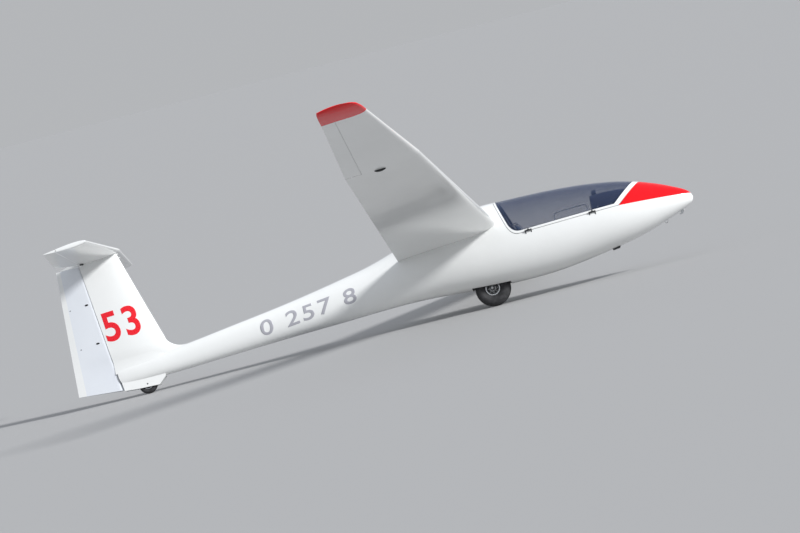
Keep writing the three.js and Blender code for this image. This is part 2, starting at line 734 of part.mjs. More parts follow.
function wingPieces(side, name) {
  const flat = loft(WING.map(wingRing));
  const [inner, outer] = [hingeSpot(AILERON_IN_Y, AILERON_CHORD_IN), hingeSpot(TIP_CAP_Y, AILERON_CHORD_OUT)];
  const aileronTool = (gap) => {
    const [y1, y2] = [AILERON_IN_Y + MOVE_GAP - gap, TIP_CAP_Y - MOVE_GAP + gap];
    const behind = planPrism(
      [
        [inner.x, y1],
        [outer.x, y2],
        [WING_FAR_X, y2],
        [WING_FAR_X, y1],
      ],
      -BESIDE,
      BESIDE,
    );
    return surfaceTool([inner.x, y1, inner.z], [outer.x, y2, outer.z], inner.r, outer.r, gap, behind);
  };

  // The aileron turns on a pin at each end of its hinge line
  const start = new THREE.Vector3(inner.x, AILERON_IN_Y, inner.z);
  const end = new THREE.Vector3(outer.x, TIP_CAP_Y, outer.z);
  const hingeLine = end.clone().sub(start).normalize();
  const endPins = (r, reach) =>
    [[start, -1], [end, 1]].map(([at, way]) =>
      bar(
        at.clone().addScaledVector(hingeLine, way * reach).toArray(),
        at.clone().addScaledVector(hingeLine, -way * 30).toArray(),
        r,
        r,
        12,
      ),
    );
  const pins = endPins(LUG.pinR, 12);
  const bores = endPins(LUG.pinR + SEAT_GAP, 14);

  // Airbrake: a cap flush with the upper skin, on a blade that rises out of a slot
  const brakeBox = (width, inset, z1, gap) =>
    box(
      BRAKE.x - width / 2 - gap,
      BRAKE.x + width / 2 + gap,
      BRAKE.y1 + inset - gap,
      BRAKE.y2 - inset + gap,
      z1 - gap,
      300,
    );
  const lowered = (depth) => shifted(flat, 0, 0, -depth);
  const pocket = (depth, gap) => brakeBox(BRAKE.width, 0, -30, gap).subtract(lowered(depth));
  const blade = brakeBox(BRAKE.blade, 12, BRAKE.bottom, 0).intersect(lowered(BRAKE.cap - 2));
  const brake = flat.intersect(pocket(BRAKE.cap, 0)).add(blade);
  const guide = (y1, y2) => box(BRAKE.x - 4, BRAKE.x + 4, y1, y2, BRAKE.bottom - MOVE_GAP - 1, 200);
  const guides = guide(BRAKE.y1 + 5, BRAKE.y1 + 12 - SEAT_GAP)
    .add(guide(BRAKE.y2 - 12 + SEAT_GAP, BRAKE.y2 - 5))
    .intersect(lowered(BRAKE.cap + MOVE_GAP));
  const wing = flat
    .subtract(aileronTool(MOVE_GAP))
    .subtract(pocket(BRAKE.cap + MOVE_GAP, MOVE_GAP))
    .subtract(brakeBox(BRAKE.blade, 12, BRAKE.bottom, MOVE_GAP))
    .add(guides)
    .subtract(bores[0])
    .subtract(bores[1]);
  piece(`wing_${name}`, placeWing(wing, side).subtract(outsideGrown), white);

  const hingeAxis = alongWing(hingeLine, side).multiplyScalar(side);
  const aileronHinge = pivot(`aileron_${name}_hinge`, onWing(start, side).toArray(), hingeAxis.toArray());
  const aileron = flat.intersect(aileronTool(0)).add(pins[0]).add(pins[1]);
  piece(`aileron_${name}`, placeWing(aileron, side), white, aileronHinge);

  const brakeMiddle = new THREE.Vector3(BRAKE.x, (BRAKE.y1 + BRAKE.y2) / 2, 0);
  const brakeWay = alongWing(new THREE.Vector3(0, 0, 1), side);
  const slide = pivot(`airbrake_${name}_slide`, onWing(brakeMiddle, side).toArray(), brakeWay.toArray());
  piece(`airbrake_${name}`, placeWing(brake, side), white, slide);

  piece(`wing_tip_${name}`, placeWing(loft(TIP_CAP.map(wingRing)).subtract(bores[1]), side), red);

  const { halfLength, halfWidth, halfHeight } = CRANK_FAIRING;
  const oval = new THREE.SphereGeometry(1, 16, 8).scale(halfLength, halfWidth, halfHeight);
  const bulge = solidOf(oval.translate(CRANK_FAIRING.x, CRANK_FAIRING.y, CRANK_FAIRING.z));
  const aboveLowerSkin = lowered(SEAT_GAP).add(lowered(-60));
  piece(`crank_fairing_${name}`, placeWing(bulge.subtract(aboveLowerSkin), side), darkPaint);
}

// Both halves of a profile about the wheel's middle plane, as one loop of [radius, y].
function acrossWheel(half) {
  const other = half.filter(([, y]) => y > 0).toReversed();
  return [...half, ...other.map(([r, y]) => [r, -y])];
}

const tyreProfile = (radius, width, rows) =>
  acrossWheel(rows.map(([inwards, share]) => [radius - inwards, (share * width) / 2]));

// The loop runs from the bore out along the starboard face to the rim, and back on the port face.
function rimProfile(rows, edge, radius) {
  return acrossWheel([...rows, [radius - edge.lip, edge.width], [radius, edge.width]]).toReversed();
}

function mainGear() {
  const wheel = pivot("main_wheel_axle", [0, 0, MAIN_AXLE_Z], [0, 1, 0]);
  piece("main_tyre", turned(tyreProfile(MAIN_TYRE_R, MAIN_TYRE_W, MAIN_TYRE), 0, MAIN_AXLE_Z), rubber, wheel);
  const rimR = MAIN_TYRE_R - MAIN_TYRE.at(-1)[0] - SEAT_GAP;
  piece("main_rim", turned(rimProfile(MAIN_RIM, MAIN_RIM_EDGE, rimR), 0, MAIN_AXLE_Z), alloy, wheel);
  piece("main_axle", bar([0, -92, MAIN_AXLE_Z], [0, 92, MAIN_AXLE_Z], MAIN_AXLE_R), steel);

  const leg = sideOutline([
    [-FORK.halfTop, FORK.top],
    [FORK.halfTop, FORK.top],
    [24, 165],
    [12, 158],
    [-12, 158],
    [-24, 165],
  ]);
  const bore = bar([0, -120, MAIN_AXLE_Z], [0, 120, MAIN_AXLE_Z], MAIN_AXLE_R + SEAT_GAP);
  const fork = sidePrism(leg, FORK.y1, FORK.y2)
    .add(sidePrism(leg, -FORK.y2, -FORK.y1))
    .add(box(-FORK.halfTop, FORK.halfTop, -FORK.y2, FORK.y2, FORK.top - 16, WELL.top - SEAT_GAP))
    .subtract(bore);
  piece("main_fork", fork, steel);
}

function tailWheel() {
  const wheel = pivot("tail_wheel_axle", [TAIL_AXLE_X, 0, TAIL_AXLE_Z], [0, 1, 0]);
  const tyre = tyreProfile(TAIL_TYRE_R, TAIL_TYRE_W, TAIL_TYRE);
  piece("tail_tyre", turned(tyre, TAIL_AXLE_X, TAIL_AXLE_Z, 28), rubber, wheel);
  const rimR = TAIL_TYRE_R - TAIL_TYRE.at(-1)[0] - SEAT_GAP;
  const rim = rimProfile(TAIL_RIM, TAIL_RIM_EDGE, rimR);
  piece("tail_rim", turned(rim, TAIL_AXLE_X, TAIL_AXLE_Z, 28), alloy, wheel);
  const axleEnd = TAIL_FAIRING_Y - 1;
  const axle = bar([TAIL_AXLE_X, -axleEnd, TAIL_AXLE_Z], [TAIL_AXLE_X, axleEnd, TAIL_AXLE_Z], TAIL_AXLE_R);
  piece("tail_axle", axle, steel);
}

function canopyPieces() {
  const [front, rear] = [CANOPY_HINGE[1], CANOPY_HINGE[0]];
  const axis = [front.x - rear.x, front.y - rear.y, front.z - rear.z];
  const hinge = pivot("canopy_hinge", [rear.x, rear.y, rear.z], axis);

  const hole = canopyPrism(FRAME_REAR, FRAME_SILL, FRAME_FRONT);
  const ring = canopyPrism(FRAME_GAP, FRAME_GAP, FRAME_GAP).subtract(hole);
  const frame = outside.subtract(fuselageBody(FRAME_WALL)).intersect(ring);
  piece("canopy_frame", frame, white, hinge);

  const glazing = outside
    .subtract(fuselageBody(GLASS))
    .intersect(canopyPrism(FRAME_REAR + SEAT_GAP, FRAME_SILL + SEAT_GAP, FRAME_FRONT + SEAT_GAP));
  const windowPrism = (inset) =>
    sidePrism(sideOutline(WINDOW.map(([x, z, inX, inZ]) => [x + inX * inset, z + inZ * inset])), 100, BESIDE);
  piece("canopy_glass", glazing.subtract(windowPrism(0)), clear, hinge);
  piece("sliding_window", glazing.intersect(windowPrism(SEAT_GAP)), clear, hinge);

  // Hinges on the starboard sill: a pin between two feet on the fuselage, and a knuckle on the frame
  const along = new THREE.Vector3(...axis).normalize();
  CANOPY_HINGE.forEach((spot, i) => {
    const name = ["rear", "front"][i];
    const centre = new THREE.Vector3(spot.x, spot.y, spot.z);
    const at = (distance, dy = 0, dz = 0) =>
      centre.clone().addScaledVector(along, distance).add(new THREE.Vector3(0, dy, dz)).toArray();
    const foot = (distance) => bar(at(distance), at(distance, 24, -44), 5, 5, 8);
    const base = bar(at(-36), at(36), 4, 4, 12)
      .add(bar(at(-36), at(-24), 8, 8, 12))
      .add(bar(at(24), at(36), 8, 8, 12))
      .add(foot(-30))
      .add(foot(30))
      .subtract(outsideGrown);
    piece(`hinge_base_${name}`, largest(base), darkPaint);
    const knuckle = bar(at(-18), at(18), 8, 8, 12)
      .add(bar(at(0), at(0, 34, 26), 8, 8, 12))
      .subtract(outsideGrown)
      .subtract(bar(at(-40), at(40), 4 + SEAT_GAP, 4 + SEAT_GAP, 12));
    piece(`hinge_knuckle_${name}`, largest(knuckle), darkPaint, hinge);
  });

  const latch = bar([900, 330, 664], [900, 262, 664], 5, 5, 12)
    .intersect(fuselageBody(FRAME_WALL + SEAT_GAP))
    .add(bar([876, 258, 664], [924, 258, 664], 8, 8, 12));
  piece("canopy_latch", latch, red, hinge);
}

// Seat

function seatPieces() {
  const belowSill = box(COCKPIT_REAR_X, COCKPIT_FRONT_X, -BESIDE, BESIDE, 0, SEAT_SHOULDER_Z);
  const shoulders = box(COCKPIT_REAR_X, COCKPIT_FRONT_X, -SEAT_TOP_Y, SEAT_TOP_Y, 0, ABOVE_ALL);
  const pan = sidePrism(alongPath(SEAT_PATH, -SEAT_SKIN, 0), -BESIDE, BESIDE).intersect(linedInside);
  piece("seat_pan", pan.intersect(belowSill.add(shoulders)), lining);
  const clearOfWall = fuselageBody(WALL + MOVE_GAP);
  const cushion = (low, high, halfWidth, first, last) =>
    sidePrism(alongPath(SEAT_PATH, low, high, first, last), -halfWidth, halfWidth).intersect(clearOfWall);
  piece("seat_cushion", cushion(SEAT_GAP, 42, 205, 2, 4), cushionCloth);
  piece("back_cushion", cushion(SEAT_GAP, 36, 195, 6, 8), cushionCloth);
  const rest = sideOutline([
    [HEADREST_X, 792],
    [HEADREST_X, 912],
    [HEADREST_X + 44, 898],
    [HEADREST_X + 52, 812],
  ]);
  piece("headrest", sidePrism(rest, -88, 88), cushionCloth);
}

// Instrument panel on its pedestal, under an arched glare shield

function shieldRing([x, halfWidth, base, top], inset) {
  return Array.from({ length: SHIELD_STEPS + 1 }, (_, i) => {
    const angle = (Math.PI * i) / SHIELD_STEPS;
    const across = Math.sign(Math.cos(angle)) * Math.abs(Math.cos(angle)) ** SHIELD_POWER;
    const height = (top - inset - base) * Math.sin(angle) ** SHIELD_POWER;
    return new THREE.Vector3(x, (halfWidth - inset) * across, base + height);
  });
}

// The shape inside the shield, drawn in by an inset and run out past both of its open ends.
function shieldInside(inset) {
  const runOut = [-50, 0, 0, 50];
  return loft(SHIELD.map(([x, ...row], i) => shieldRing([x + runOut[i], ...row], inset)));
}

function panelPieces() {
  const arch = loft(SHIELD.map((row) => shieldRing(row, 0)));
  const below = box(1000, 1900, -BESIDE, BESIDE, 400, Math.min(...SHIELD.map((row) => row[2])) + 1);
  piece("glare_shield", arch.subtract(shieldInside(SHIELD_SKIN)).subtract(below), darkPaint);

  const behindPanel = box(PANEL_X, PANEL_X + PANEL_T, -BESIDE, BESIDE, 600, ABOVE_ALL);
  const upper = shieldInside(SHIELD_SKIN + SEAT_GAP).intersect(behindPanel);
  const neck = [...PANEL_NECK, ...PANEL_NECK.toReversed().map(([y, z]) => [-y, z])];
  const bezels = DIALS.map(({ y, z, r }) => bar([PANEL_X + 2, y, z], [PANEL_X - 12, y, z], r, r, 20));
  const panel = upper.add(frontPrism(neck, PANEL_X, PANEL_X + PANEL_T));
  piece("instrument_panel", bezels.reduce((body, bezel) => body.add(bezel), panel), darkPaint);
  const footX = PANEL_X + PANEL_T + SEAT_GAP;
  const foot = sideOutline([
    [footX, 250],
    [footX, 690],
    [footX + 71, 690],
    [footX + 141, 520],
    [footX + 201, 250],
  ]);
  piece("panel_pedestal", sidePrism(foot, -62, 62).intersect(linedInside), darkPaint);
  piece("release_knob", bar([PANEL_X - SEAT_GAP, 100, 612], [PANEL_X - 42, 100, 612], 5, 12, 12), yellow);
}

// Stick, pedals, levers and consoles

function controlPieces() {
  const base = [1010, 0, 310];
  const top = [984, 0, 560];
  const overPan = sidePrism(alongPath(SEAT_PATH, -300, SEAT_GAP), -BESIDE, BESIDE);
  const grip = bar([985, 0, 545], [972, 0, 664], 17, 15, 12);
  piece("control_stick", bar(base, top, STICK_R, STICK_R, 12).add(grip).subtract(overPan), darkPaint);
  const gaiter = bar([1011, 0, 300], [1003, 0, 378], 70, 14, 20);
  const stickHole = bar(base, top, STICK_R + SEAT_GAP, STICK_R + SEAT_GAP, 12);
  piece("stick_gaiter", gaiter.subtract(overPan).subtract(stickHole), rubber);

  const rail = box(1580, 1760, -16, 16, 300, 405).add(bar([1690, -118, 412], [1690, 118, 412], 10, 10, 12));
  piece("pedal_rail", rail.intersect(linedInside), steel);
  for (const [side, name] of [[1, "left"], [-1, "right"]]) {
    const plate = sideOutline(PEDAL);
    const pedal = sidePrism(plate, 42, 112);
    piece(`rudder_pedal_${name}`, side > 0 ? pedal : acrossCentre(pedal), steel);
    const ledge = box(650, 1170, 218, BESIDE, 440, CONSOLE_TOP_Z).intersect(linedInside);
    piece(`side_console_${name}`, side > 0 ? ledge : acrossCentre(ledge), lining);
  }
  const lever = (x, y, height, reach) =>
    bar([x, y, CONSOLE_TOP_Z + SEAT_GAP], [x, y, CONSOLE_TOP_Z + height], 6, 6, 12).add(
      bar([x - reach, y, CONSOLE_TOP_Z + height], [x + reach, y, CONSOLE_TOP_Z + height], 12, 12, 12),
    );
  piece("airbrake_lever", lever(860, 250, 72, 48), blue);
  piece("trim_lever", lever(1010, 246, 40, 16), green);
}

// Tow hooks under the nose and the belly

function hookPieces() {
  const beak = sidePrism(sideOutline(NOSE_HOOK), -8, 8);
  piece("nose_hook", largest(beak.subtract(outsideGrown)), steel);
  const block = sidePrism(sideOutline(BELLY_HOOK), -20, 20);
  piece("belly_hook", largest(block.subtract(outsideGrown)), darkPaint);
}

function largest(solid) {
  return solid.decompose().reduce((a, b) => (a.volume() > b.volume() ? a : b));
}

fuselagePieces();
tailPieces();
for (const [side, name] of [[1, "left"], [-1, "right"]]) wingPieces(side, name);
mainGear();
tailWheel();
canopyPieces();
seatPieces();
panelPieces();
controlPieces();
hookPieces();

// Parking: the lean and the pitch at which both tyres and the port wing tip touch the floor

function lowest(name) {
  const mesh = group.getObjectByName(name);
  return new THREE.Box3().setFromObject(mesh, true).min.z;
}

function park() {
  const wheelbase = -TAIL_AXLE_X;
  for (let step = 0; step < 30; step++) {
    group.updateMatrixWorld(true);
    const main = lowest("main_tyre");
    airframe.rotation.x -= (lowest("wing_tip_left") - main) / (SPAN / 2);
    airframe.rotation.y -= (lowest("tail_tyre") - main) / wheelbase;
  }
  group.updateMatrixWorld(true);
  const bounds = new THREE.Box3().setFromObject(group, true);
  const middle = bounds.getCenter(new THREE.Vector3());
  airframe.position.set(-middle.x, -middle.y, -bounds.min.z);
  group.updateMatrixWorld(true);
}
park();

export default group;
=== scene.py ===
# %% [markdown]
# # A parked sailplane
#
# The construction model gives a single-seat sailplane its sizes, its joints and its place on the floor.
# This notebook dresses it: every skin is worked out again as a fine surface from a few sections, and
# every finish is a small network of nodes. All lengths are in metres.
#
# The construction model comes first, because each new piece rides on one of its bodies.

# %% Load the construction model
import json
from math import atan2, cos, pi, radians, sin

import bmesh
import bpy
import numpy as np
from mathutils import Matrix, Vector


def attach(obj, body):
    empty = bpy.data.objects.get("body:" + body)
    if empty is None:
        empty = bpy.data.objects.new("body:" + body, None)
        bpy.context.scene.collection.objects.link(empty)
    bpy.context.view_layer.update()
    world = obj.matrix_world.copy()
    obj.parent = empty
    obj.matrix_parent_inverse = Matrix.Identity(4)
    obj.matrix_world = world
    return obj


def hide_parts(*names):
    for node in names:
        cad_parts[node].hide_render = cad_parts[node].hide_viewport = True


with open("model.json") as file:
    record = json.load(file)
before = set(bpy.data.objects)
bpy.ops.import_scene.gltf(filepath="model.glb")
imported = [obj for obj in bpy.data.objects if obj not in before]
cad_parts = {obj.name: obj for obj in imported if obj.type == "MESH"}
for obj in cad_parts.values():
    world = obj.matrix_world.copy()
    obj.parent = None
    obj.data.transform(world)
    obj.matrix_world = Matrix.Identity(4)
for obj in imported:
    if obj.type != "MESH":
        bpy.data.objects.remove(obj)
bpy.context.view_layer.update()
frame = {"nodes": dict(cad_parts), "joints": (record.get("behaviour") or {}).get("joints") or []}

# %% [markdown]
# ## The level frame
#
# A sailplane on the ground leans on one wing tip, so its own axes are not the floor's. Shapes are far
# easier to write with the machine level: x forward from the main axle, y to port, z up from the line
# that both wheels stand on. The two wheel joints of the model say how that level frame was leaned over,
# and one matrix then carries every finished point to its parked place.

# %% Axes of the leaned machine, from its two axles
MAIN_AXLE = np.array([0.0, 0.0, 0.185])
TAIL_AXLE = np.array([-3.714, 0.0, 0.100])


def joint_vector(name, key):
    joint = next(joint for joint in frame["joints"] if joint["name"] == name)
    return np.array(joint[key])


def level_axes():
    """Rows are the level frame's x, y and z as the parked machine has them."""
    port = joint_vector("main_wheel_spin", "axis")
    port /= np.linalg.norm(port)
    between = joint_vector("main_wheel_spin", "pos_m") - joint_vector("tail_wheel_spin", "pos_m")
    between -= port * (between @ port)
    between /= np.linalg.norm(between)
    square = np.cross(between, port)
    climb = atan2(MAIN_AXLE[2] - TAIL_AXLE[2], MAIN_AXLE[0] - TAIL_AXLE[0])
    forward = cos(climb) * between - sin(climb) * square
    return np.stack([forward, port, np.cross(forward, port)])


AXES = level_axes()
ORIGIN = joint_vector("main_wheel_spin", "pos_m") - MAIN_AXLE @ AXES


def parked(points):
    """Level points in the parked frame: each coordinate times its axis, added up from the origin."""
    return np.asarray(points) @ AXES + ORIGIN


print("lean in degrees:", round(float(np.degrees(np.arcsin(-AXES[1, 2]))), 2))

# %% [markdown]
# ## The camera
#
# The photograph was taken from far away with a long lens, a little ahead of the starboard side and
# below the wings, and it shows the machine climbing across the picture. The camera is therefore given
# in the level frame too. A long lens from far off keeps the lines almost parallel, as they are there.

# %% Camera
CAMERA_AT = [6.080, -59.290, -6.794]
CAMERA_AHEAD = radians(6.7)
CAMERA_BELOW = radians(7.1)
CAMERA_ROLL = radians(13.4)
CAMERA_LENS = 263.25
CAMERA_REACH = 9000


def linked(name, data):
    """A new object in the scene."""
    made = bpy.data.objects.new(name, data)
    bpy.context.scene.collection.objects.link(made)
    return made


def add_camera():
    look = np.array(
        [-sin(CAMERA_AHEAD) * cos(CAMERA_BELOW), cos(CAMERA_AHEAD) * cos(CAMERA_BELOW), sin(CAMERA_BELOW)]
    )
    across = np.array([cos(CAMERA_AHEAD), sin(CAMERA_AHEAD), 0.0])
    above = np.cross(across, look)
    right = cos(CAMERA_ROLL) * across - sin(CAMERA_ROLL) * above
    up = sin(CAMERA_ROLL) * across + cos(CAMERA_ROLL) * above
    placed = np.eye(4)
    placed[:3, :3] = (np.stack([right, up, -look]) @ AXES).T
    placed[:3, 3] = parked(CAMERA_AT)
    camera = linked("camera", bpy.data.cameras.new("camera"))
    camera.data.sensor_width = 36
    camera.data.lens = CAMERA_LENS
    camera.data.clip_end = CAMERA_REACH
    camera.matrix_world = Matrix(placed.tolist())
    bpy.context.scene.camera = camera
    return camera


print("camera at", [round(v, 2) for v in add_camera().location])

# %% [markdown]
# ## Light and floor
#
# One soft sun stands ahead of the starboard side, where the light of the photograph comes from: the
# tailplane's shadow on the fin gives its direction. A pale sky fills the shadows. The floor is a plain
# disc, so large that its edge lies behind everything, and the sky near the horizon has the floor's own
# tone, so that no line cuts the picture. Both are a pale grey, darker than the machine's own white.

# %% Light and floor
SUN_FROM = np.array([0.78, -0.49, 0.40])  # in the level frame, from the machine towards the light
SUN_ENERGY = 4.0
SUN_WIDTH = radians(9)
SKY_STRENGTH = 0.55
HORIZON, ZENITH = (0.835, 0.855, 0.885), (1.0, 1.05, 1.14)
FLOOR_RADIUS = 4000.0
FLOOR_COLOUR = (0.38, 0.38, 0.38)


def add_light():
    sun = linked("sun", bpy.data.lights.new("sun", "SUN"))
    sun.data.energy = SUN_ENERGY
    sun.data.angle = SUN_WIDTH
    sun.rotation_euler = Vector(SUN_FROM @ AXES).to_track_quat("Z", "Y").to_euler()
    world = bpy.data.worlds.new("sky")
    world.use_nodes = True
    nodes, links = world.node_tree.nodes, world.node_tree.links
    height = nodes.new("ShaderNodeSeparateXYZ")
    links.new(nodes.new("ShaderNodeTexCoord").outputs["Generated"], height.inputs["Vector"])
    ramp = nodes.new("ShaderNodeValToRGB")
    for stop, place, colour in zip(ramp.color_ramp.elements, (0.02, 0.45), (HORIZON, ZENITH)):
        stop.position = place
        stop.color = (*colour, 1)
    links.new(height.outputs["Z"], ramp.inputs["Fac"])
    links.new(ramp.outputs["Color"], nodes["Background"].inputs["Color"])
    nodes["Background"].inputs["Strength"].default_value = SKY_STRENGTH
    bpy.context.scene.world = world
    bpy.context.scene.view_settings.view_transform = "Standard"


def add_floor():
    turns = np.linspace(0, 2 * pi, 96, endpoint=False)
    rim = np.stack([FLOOR_RADIUS * np.cos(turns), FLOOR_RADIUS * np.sin(turns), 0 * turns], -1)
    mesh = bpy.data.meshes.new("floor")
    mesh.from_pydata(rim.tolist(), [], [list(range(len(turns)))])
    floor = linked("floor", mesh)
    material = bpy.data.materials.new("pale_floor")
    material.use_nodes = True
    shader = material.node_tree.nodes["Principled BSDF"]
    shader.inputs["Base Color"].default_value = (*FLOOR_COLOUR, 1)
    shader.inputs["Roughness"].default_value = 0.9
    mesh.materials.append(material)


add_light()
add_floor()
print("floor and light are in")

# %% [markdown]
# ## Finishes
#
# A glider's skin is white gelcoat, sanded and polished. Up close it is not one flat white: its gloss
# changes in soft patches, and faint waves run through its reflections. Two slow noises say that, one for
# the roughness and one for the bump. The other finishes follow the same pattern: a base shader with
# plain values, and one or two noises where the real surface varies.

# %% Helpers for materials
def set_values(node, *values):
    """Plain values on a node's inputs, from pairs of a name and a value."""
    for name, value in values:
        node.inputs[name].default_value = value
    return node


def new_node(material, kind, *values):
    return set_values(material.node_tree.nodes.new(kind), *values)


def connect(material, *pairs):
    """Links from outputs to inputs."""
    for output, socket in pairs:
        material.node_tree.links.new(output, socket)


def new_material(name, colour, roughness, *values):
    """A material with one Principled shader and plain values on its sockets."""
    material = bpy.data.materials.new(name)
    material.use_nodes = True
    shader = material.node_tree.nodes["Principled BSDF"]
    set_values(shader, ("Base Color", (*colour, 1)), ("Roughness", roughness), *values)
    return material, shader


def noise(material, scale, detail=3.0, stretch=(1, 1, 1)):
    """The value of a noise on Object coordinates, stretched along each axis."""
    place = new_node(material, "ShaderNodeTexCoord").outputs["Object"]
    mapping = new_node(material, "ShaderNodeMapping", ("Scale", stretch))
    cloud = new_node(material, "ShaderNodeTexNoise", ("Scale", scale), ("Detail", detail))
    connect(material, (place, mapping.inputs["Vector"]), (mapping.outputs["Vector"], cloud.inputs["Vector"]))
    return cloud.outputs["Fac"]


def vary_roughness(material, shader, value, low, high):
    """Roughness runs from low to high as value runs from 0.3 to 0.7."""
    numbers = [("From Min", 0.3), ("From Max", 0.7), ("To Min", low), ("To Max", high)]
    span = new_node(material, "ShaderNodeMapRange", *numbers)
    connect(material, (value, span.inputs["Value"]), (span.outputs["Result"], shader.inputs["Roughness"]))


def vary_colour(material, shader, value, first, second, edges=(0.35, 0.65)):
    """Base colour fades from first to second as value passes between the two edges."""
    ramp = new_node(material, "ShaderNodeValToRGB")
    for stop, edge, colour in zip(ramp.color_ramp.elements, edges, (first, second)):
        stop.position = edge
        stop.color = (*colour, 1)
    connect(material, (value, ramp.inputs["Fac"]), (ramp.outputs["Color"], shader.inputs["Base Color"]))


def add_bump(material, shader, value, strength, distance):
    bump = new_node(material, "ShaderNodeBump", ("Strength", strength), ("Distance", distance))
    connect(material, (value, bump.inputs["Height"]), (bump.outputs["Normal"], shader.inputs["Normal"]))


# %% The finishes
def gelcoat(name, colour, second, rough=(0.07, 0.17), shine=0.5):
    """Polished skin, whose colour, gloss and level each change a little in slow patches."""
    gloss = [("Specular IOR Level", shine), ("Coat Weight", 0.7 * shine), ("Coat Roughness", 0.05)]
    material, shader = new_material(name, colour, rough[0], *gloss)
    vary_colour(material, shader, noise(material, 1.3, 4), colour, second)
    vary_roughness(material, shader, noise(material, 2.6, 5), *rough)
    add_bump(material, shader, noise(material, 7.0, 2), 0.10, 0.004)
    return material


def speckled(name, colour, speck, scale=420.0, roughness=0.62):
    """Paint with fine specks, as a cockpit is lined with, or crackle paint on a panel."""
    material, shader = new_material(name, colour, roughness)
    value = noise(material, scale, 2)
    vary_colour(material, shader, value, colour, speck, (0.50, 0.62))
    add_bump(material, shader, value, 0.25, 0.0006)
    return material


def metal(name, colour, rough, stretch=(1, 1, 1)):
    material, shader = new_material(name, colour, rough[0], ("Metallic", 1.0))
    vary_roughness(material, shader, noise(material, 90.0, 4, stretch), *rough)
    return material


def rubber(name, colour=(0.018, 0.018, 0.020)):
    material, shader = new_material(name, colour, 0.7)
    dusty = tuple(2.3 * channel + 0.012 for channel in colour)
    value = noise(material, 34.0, 6)
    vary_colour(material, shader, value, colour, dusty, (0.4, 0.8))
    vary_roughness(material, shader, value, 0.55, 0.85)
    add_bump(material, shader, noise(material, 700.0, 2), 0.3, 0.0008)
    return material


def cloth(name, colour, second):
    """Woven cover: two sets of fine waves crossing each other, with a slow change of colour."""
    material, shader = new_material(name, colour, 0.9, ("Sheen Weight", 0.25))
    vary_colour(material, shader, noise(material, 60.0, 6), colour, second)
    place = new_node(material, "ShaderNodeTexCoord").outputs["Object"]
    weave = new_node(material, "ShaderNodeMath")
    weave.operation = "MAXIMUM"
    for direction, socket in zip("XY", weave.inputs):
        wave = new_node(material, "ShaderNodeTexWave", ("Scale", 160))
        wave.bands_direction = direction
        connect(material, (place, wave.inputs["Vector"]), (wave.outputs["Fac"], socket))
    add_bump(material, shader, weave.outputs["Value"], 0.35, 0.0008)
    return material


def acrylic(name, clear, tint):
    """Blue-tinted acrylic: it hides little where it is seen square on, and more at a shallow angle."""
    gloss = [("IOR", 1.49), ("Specular IOR Level", 1.0), ("Coat Weight", 1.0), ("Coat Roughness", 0.02)]
    material, shader = new_material(name, tint, 0.03, *gloss)
    facing = new_node(material, "ShaderNodeLayerWeight", ("Blend", 0.35)).outputs["Facing"]
    span = new_node(material, "ShaderNodeMapRange", ("To Min", clear), ("To Max", 0.80))
    connect(material, (facing, span.inputs["Value"]), (span.outputs["Result"], shader.inputs["Alpha"]))
    return material


def plain_paint(name, colour, roughness=0.4):
    """Sprayed paint or plastic, with a faint orange peel."""
    material, shader = new_material(name, colour, roughness)
    vary_roughness(material, shader, noise(material, 40.0, 4), 0.75 * roughness, 1.25 * roughness)
    add_bump(material, shader, noise(material, 260.0, 2), 0.12, 0.0005)
    return material


